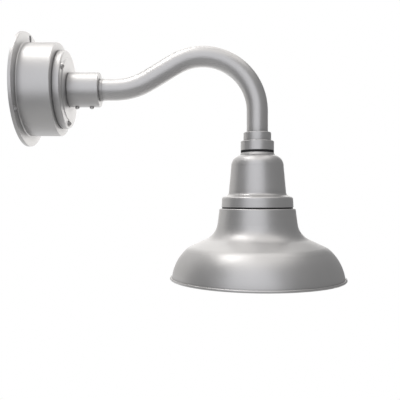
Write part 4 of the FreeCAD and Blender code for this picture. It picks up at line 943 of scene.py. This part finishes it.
def make_screws(shape, steel, zinc):
    """Every screw of the sconce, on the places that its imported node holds."""
    tree = pattern_tree()
    metals = {"screw_finish": steel, "zinc_steel": zinc}
    radius = shape.head_diameter / 2.0
    height = shape.head_rim + shape.head_dome
    head = (radius, shape.head_rim, shape.head_dome)
    socket = (hexagon(shape.socket_flats), shape.recess_depth)
    driver_cross = (cross(2.1 * MM, 0.5 * MM), shape.recess_depth)

    def lay(name, blank, values, body, slot_name, *replaced):
        values = {**values, "Finish": metals[slot_name]}
        lay_screws(name, tree, blank, values, body, replaced)

    def lay_machine(name, node, axis, recess, values, body, slot_name):
        """Machine screws for a node; their shanks lie along its axis of this number."""
        low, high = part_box(node)
        shank = (shape.shank_diameter / 2.0, high[axis] - low[axis] - height,
                 shape.thread_pitch)
        blank = screw_blank(f"{node}_blank", shank, head, recess)
        lay(name, blank, values, body, slot_name, node)

    low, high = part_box("cover_screws")
    values = pattern((high.x - height, 0.0, 0.0), OUT_OF_WALL, count=3, ring=-low.z - radius)
    lay_machine("cover_dome_screws", "cover_screws", 0, socket, values, WALL_BODY,
                "screw_finish")
    low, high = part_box("carrier_screws")
    values = pattern((low.x + height, 0.0, 0.0), TO_WALL, count=2, ring=high.y - radius,
                     first=90.0)
    lay_machine("carrier_cross_screws", "carrier_screws", 0, driver_cross, values, WALL_BODY,
                "zinc_steel")
    low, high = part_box("driver_screws")
    values = pattern((high.x - height, 0.0, (low.z + high.z) / 2.0), OUT_OF_WALL, count=2,
                     ring=high.y - radius, first=90.0)
    lay_machine("driver_cross_screws", "driver_screws", 0, driver_cross, values, WALL_BODY,
                "zinc_steel")
    low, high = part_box("shade_screws")
    values = pattern((LAMP_AXIS.x, 0.0, low.z + height), DOWNWARDS, count=3,
                     ring=high.x - radius - LAMP_AXIS.x)
    lay_machine("shade_cross_screws", "shade_screws", 2, driver_cross, values, ARM_BODY,
                "zinc_steel")

    low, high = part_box("lens_screws")
    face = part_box("lens_ring")[1].x - LAMP_AXIS.x
    rim = 0.2 * MM
    head = ((high.z - low.z) / 2.0, rim, high.x - LAMP_AXIS.x - face - rim)
    recess = (cross(1.3 * MM, 0.3 * MM), 0.8 * MM)
    blank = screw_blank("lens_screw_blank", (1.25 * MM, 3.0 * MM, 0.45 * MM), head, recess)
    values = pattern((LAMP_AXIS.x, 0.0, (low.z + high.z) / 2.0), UPWARDS, count=3,
                     ring=face, tilt=OUTWARD_TILT)
    lay("lens_cross_screws", blank, values, ARM_BODY, "screw_finish", "lens_screws")

    low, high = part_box("set_screws")
    radius = (high.y - low.y) / 2.0
    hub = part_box("arm_hub")[1].z
    proud = -low.z - hub
    blank = screw_blank("set_screw_blank", (radius, high.z + hub, 0.8 * MM),
                        (radius, 0.7 * proud, 0.3 * proud), (socket[0], 1.8 * MM))
    values = pattern((low.x + radius, 0.0, 0.0), OUT_OF_WALL, ring=hub, rows=2,
                     pitch=high.x - low.x - 2.0 * radius, tilt=OUTWARD_TILT)
    lay("hub_set_screws", blank, values, WALL_BODY, "screw_finish", "set_screws")

    # The terminal block has four poles, each with its screw in a well.
    low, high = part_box("terminal_block")
    poles, pole_pitch, seat_depth = 4, 9.0 * MM, 3.5 * MM
    blank = screw_blank("pole_screw_blank", (1.8 * MM, 4.0 * MM, 0.6 * MM),
                        (2.4 * MM, 0.8 * MM, 0.5 * MM), (slot(2.2 * MM, 0.6 * MM), 0.7 * MM))
    first_pole = -pole_pitch * (poles - 1) / 2.0
    values = pattern((high.x - seat_depth, first_pole, (low.z + high.z) / 2.0), SIDEWAYS,
                     rows=poles, pitch=pole_pitch, tilt=OUTWARD_TILT)
    lay("terminal_pole_screws", blank, values, WALL_BODY, "zinc_steel")


# Studio ----------------------------------------------------------------------------


def towards(azimuth, elevation):
    """A direction: azimuth 0 is towards the camera, 90 is +X, elevation 90 is up."""
    side, rise = math.radians(azimuth), math.radians(elevation)
    return Vector((
        math.sin(side) * math.cos(rise), -math.cos(side) * math.cos(rise), math.sin(rise),
    ))


def shown_to(board):
    """1 where a light path is a camera's, a mirror's or a lens's ray, and else 0."""
    path = board.tree.nodes.new("ShaderNodeLightPath")
    rays = ("Is Camera Ray", "Is Glossy Ray", "Is Transmission Ray")
    camera, glossy, through = (Signal(board, path.outputs[ray]) for ray in rays)
    clear = camera.math("MAXIMUM", camera, glossy)
    return clear.math("MAXIMUM", clear, through)


def make_world(studio):
    """White to the camera and in reflections, and a plain level on matt surfaces."""
    world = bpy.data.worlds.new("studio_world")
    bpy.context.scene.world = world
    world.use_nodes = True
    world.node_tree.nodes.clear()
    board = Board(world.node_tree)
    soft = board.add("ShaderNodeBackground", inputs=[WHITE, studio.soft_level])
    white = board.add("ShaderNodeBackground", inputs=[WHITE, 1.0])
    both = board.add("ShaderNodeMixShader", inputs=[shown_to(board), soft, white])
    board.add("ShaderNodeOutputWorld", inputs=[both])


def make_floor(studio, half=6.0, clear=0.6, far=1.4):
    """A pale floor that keeps the shadow near the sconce and fades to white far off."""
    material, board, point = new_material("studio_floor")
    place = board.split(centred(board, point, LAMP_AXIS))
    distance = (place["X"] ** 2.0 + place["Y"] ** 2.0) ** 0.5
    fade = board.clamped((distance - clear) / (far - clear))
    matt = board.add("ShaderNodeBsdfDiffuse", inputs=[opaque(WHITE[:3], 0.93)])
    white = board.add("ShaderNodeEmission", inputs=[WHITE, 1.0])
    share_white = fade * shown_to(board)
    both = board.add("ShaderNodeMixShader", inputs=[share_white, matt, white])
    board.add("ShaderNodeOutputMaterial", inputs=[both])
    mesh = bpy.data.meshes.new("studio_floor")
    level = studio.floor_height
    sides = ((-half, -half), (half, -half), (half, half), (-half, half))
    corners = [(x, y, level) for x, y in sides]
    mesh.from_pydata(corners, [], [(0, 1, 2, 3)])
    mesh.materials.append(material)
    add_object("studio_floor", mesh)


PLAIN = (1.0, 1.0, 1.0)
COOL = (0.965, 0.97, 1.0)
WARM = (1.0, 0.985, 0.965)
WARMER = (1.0, 0.975, 0.95)
# What the coat mirrors: name, azimuths, elevations, colour and a level or a setting.
CARDS = (
    ("front_card", (-44, 26), (-12, 58), COOL, 1.15),
    ("right_flag", (26, 148), (-12, 50), PLAIN, "flag_level"),
    ("left_flag", (-106, -44), (-12, 58), PLAIN, "flag_level"),
    ("back_card", (148, 196), (-30, 54), WARM, 1.70),
    ("rear_card", (196, 254), (-12, 54), WARM, 0.80),
    ("low_flag", (-106, 148), (-44, -12), PLAIN, 0.34),
    ("slope_card", (-106, -60), (58, 76), (1.0, 0.985, 0.96), 5.5),
    ("ceiling_card", (-60, 254), (50, 76), WARMER, 1.35),
    ("zenith_card", (-180, 180), (76, 89), WARMER, 0.60),
)
# Cards that start above this elevation hang over the softboxes; the others stand inside.
OVERHEAD = 50
OVERHEAD_RADIUS = 1.7
CARD_RADIUS = 0.95
# Lamps: name, azimuth, elevation, distance, side and the setting of its brightness.
SOFTBOXES = (
    ("key_softbox", -135, 68, 1.15, 0.80, "key_level"),
    ("rear_softbox", 166, 14, 1.3, 1.2, "rear_level"),
)


def make_card(studio, name, azimuths, elevations, tint, level, steps=12):
    """A curved card round the sconce that only reflections see."""
    middle_point = (cad_low + cad_high) / 2.0
    radius = OVERHEAD_RADIUS if elevations[0] > OVERHEAD else CARD_RADIUS
    mesh = bpy.data.meshes.new(name)
    points = []
    for across in range(steps + 1):
        side = azimuths[0] + (azimuths[1] - azimuths[0]) * across / steps
        for up in range(steps + 1):
            rise = elevations[0] + (elevations[1] - elevations[0]) * up / steps
            points.append(middle_point + radius * towards(side, rise))
    faces = []
    for across in range(steps):
        for up in range(steps):
            first = across * (steps + 1) + up
            faces.append((first, first + 1, first + steps + 2, first + steps + 1))
    mesh.from_pydata(points, [], faces)
    material, board, _ = new_material(name)
    strength = getattr(studio, level) if isinstance(level, str) else level
    glow = board.add("ShaderNodeEmission", inputs=[opaque(tint), strength])
    board.add("ShaderNodeOutputMaterial", inputs=[glow])
    mesh.materials.append(material)
    card = add_object(name, mesh)
    card.visible_camera = False
    card.visible_diffuse = False
    card.visible_shadow = False


def make_softbox(name, azimuth, elevation, distance, side, level):
    """A square softbox that looks at the sconce; level is its brightness, 1 is white."""
    lamp = bpy.data.lights.new(name, "AREA")
    lamp.shape = "SQUARE"
    lamp.size = side
    lamp.energy = level * math.pi * side ** 2
    lamp.color = WARM
    box = add_object(name, lamp)
    aim = towards(azimuth, elevation)
    box.location = (cad_low + cad_high) / 2.0 + distance * aim
    box.rotation_euler = aim.to_track_quat("Z", "Y").to_euler()
    box.visible_camera = False


def make_camera(studio):
    """The photograph's view: level, square to the arm, from the -Y side."""
    data = bpy.data.cameras.new("camera")
    data.sensor_width = 36.0
    data.lens = studio.focal_length
    camera = add_object("camera", data)
    camera.location = studio.camera_place
    camera.rotation_euler = (QUARTER_TURN, 0.0, 0.0)
    bpy.context.scene.camera = camera


# Operators -------------------------------------------------------------------------


class SCONCE_OT_castings(bpy.types.Operator):
    """Silver coat on the housing, cover, hub, collar and hood"""

    bl_idname = "sconce.castings"
    bl_label = "Castings"

    def execute(self, context):
        finish = context.scene.sconce_finish
        for node in ("wall_housing", "front_cover", "arm_hub"):
            dress(silver_coat(finish, f"{node}_coat", "X", HUB_AXIS), node)
        for node in ("stepped_collar", "hood"):
            dress(silver_coat(finish, f"{node}_coat", "Z", LAMP_AXIS), node)
        return {"FINISHED"}


class SCONCE_OT_gooseneck(bpy.types.Operator):
    """Bent arm tube with its stop ring"""

    bl_idname = "sconce.gooseneck"
    bl_label = "Gooseneck"

    def execute(self, context):
        coat = silver_coat(context.scene.sconce_finish, "tube_coat", line_depth=0.0)
        make_gooseneck(context.scene.sconce_shape, coat)
        dress(coat, "stop_ring")
        return {"FINISHED"}


class SCONCE_OT_shade(bpy.types.Operator):
    """Spun shade: silver outside, white inside"""

    bl_idname = "sconce.shade"
    bl_label = "Shade"

    def execute(self, context):
        dress(shade_coat(context.scene.sconce_finish, "shade_coat"), "shade")
        return {"FINISHED"}


class SCONCE_OT_screws(bpy.types.Operator):
    """Every screw, with its head, drive recess and thread"""

    bl_idname = "sconce.screws"
    bl_label = "Screws"

    def execute(self, context):
        finish = context.scene.sconce_finish
        steel = screw_steel(finish, "screw_steel")
        make_screws(context.scene.sconce_shape, steel, zinc_plate(finish, "screw_zinc"))
        return {"FINISHED"}


class SCONCE_OT_hardware(bpy.types.Operator):
    """Zinc-plated washers, nuts, clip and carrier plate, and the seals"""

    bl_idname = "sconce.hardware"
    bl_label = "Hardware and seals"

    def execute(self, context):
        finish = context.scene.sconce_finish
        dress(zinc_plate(finish, "zinc_plate"), "hub_washer", "hub_locknut", "carrier_plate",
              "hood_washer", "hood_locknut", "thrust_washer", "retaining_clip")
        dress(rubber(finish.seam_rubber, "grey_rubber"), "cover_gasket", "hub_gasket")
        dress(rubber(finish.rubber, "black_rubber"), "wall_gasket", "collar_gasket",
              "hood_gasket", "lens_gasket", "tube_grommet", "sink_grommet")
        return {"FINISHED"}


class SCONCE_OT_light_module(bpy.types.Operator):
    """Heat sink, chip board, reflector, lens and lens ring"""

    bl_idname = "sconce.light_module"
    bl_label = "Light module"

    def execute(self, context):
        finish = context.scene.sconce_finish
        dress(turned_aluminium(finish, "sink_aluminium"), "heat_sink")
        dress(silver_coat(finish, "lens_ring_coat", "Z", LAMP_AXIS), "lens_ring")
        dress(chip_board(finish, "chip_board"), "led_board")
        dress(phosphor_chips(finish, "phosphor_chips"), "led_chips")
        dress(white_paint(finish, "white_paint"), "reflector")
        dress(frosted_opal(finish, "frosted_opal"), "lens")
        return {"FINISHED"}


class SCONCE_OT_wiring(bpy.types.Operator):
    """Driver, terminal block, leads, lug and cable"""

    bl_idname = "sconce.wiring"
    bl_label = "Wiring"

    def execute(self, context):
        finish = context.scene.sconce_finish
        dress(moulded_plastic(finish.driver_shell, "driver_shell"), "led_driver")
        dress(moulded_plastic(finish.terminal_shell, "terminal_shell"), "terminal_block")
        dress(moulded_plastic(finish.opal, "splice_shell", 0.3), "splice_connector")
        dress(lead_jacket(finish.live_lead, "cable_jacket"), "lamp_cable",
              "driver_output_lead")
        dress(supply_jackets(finish, "supply_jackets"), "supply_leads")
        dress(earth_jacket(finish, "earth_jacket"), "earth_lead")
        dress(tinned_copper(finish, "tinned_copper"), "earth_lug")
        dress(green_steel(finish, "green_steel"), "ground_screw")
        return {"FINISHED"}


class SCONCE_OT_studio(bpy.types.Operator):
    """World, floor, cards, softboxes and camera"""

    bl_idname = "sconce.studio"
    bl_label = "Studio"

    def execute(self, context):
        studio = context.scene.sconce_studio
        make_world(studio)
        make_floor(studio)
        for card in CARDS:
            make_card(studio, *card)
        for *place, setting in SOFTBOXES:
            make_softbox(*place, getattr(studio, setting))
        make_camera(studio)
        context.scene.view_settings.view_transform = "Standard"
        return {"FINISHED"}


class SCONCE_PT_sidebar(bpy.types.Panel):
    """Lists the sconce's steps and settings"""

    bl_idname = "SCONCE_PT_sidebar"
    bl_label = "Gooseneck Sconce"
    bl_space_type = "VIEW_3D"
    bl_region_type = "UI"
    bl_category = "Sconce"

    def draw(self, context):
        column = self.layout.column()
        for step in STEPS:
            column.operator(step.bl_idname)
        for group in GROUPS:
            settings = getattr(context.scene, group)
            for name in settings.__annotations__:
                column.prop(settings, name)


GROUPS = {
    "sconce_shape": SconceShape, "sconce_finish": SconceFinish, "sconce_studio": SconceStudio,
}
STEPS = (
    SCONCE_OT_castings, SCONCE_OT_gooseneck, SCONCE_OT_shade, SCONCE_OT_screws,
    SCONCE_OT_hardware, SCONCE_OT_light_module, SCONCE_OT_wiring, SCONCE_OT_studio,
)


def register():
    for group in (*GROUPS.values(), *STEPS, SCONCE_PT_sidebar):
        bpy.utils.register_class(group)
    for name, group in GROUPS.items():
        setattr(bpy.types.Scene, name, PointerProperty(type=group))


def unregister():
    for name in GROUPS:
        delattr(bpy.types.Scene, name)
    for group in reversed((*GROUPS.values(), *STEPS, SCONCE_PT_sidebar)):
        bpy.utils.unregister_class(group)


def main():
    register()
    for step in STEPS:
        getattr(bpy.ops.sconce, step.bl_idname.split(".")[1])()


if __name__ == "__main__":
    main()
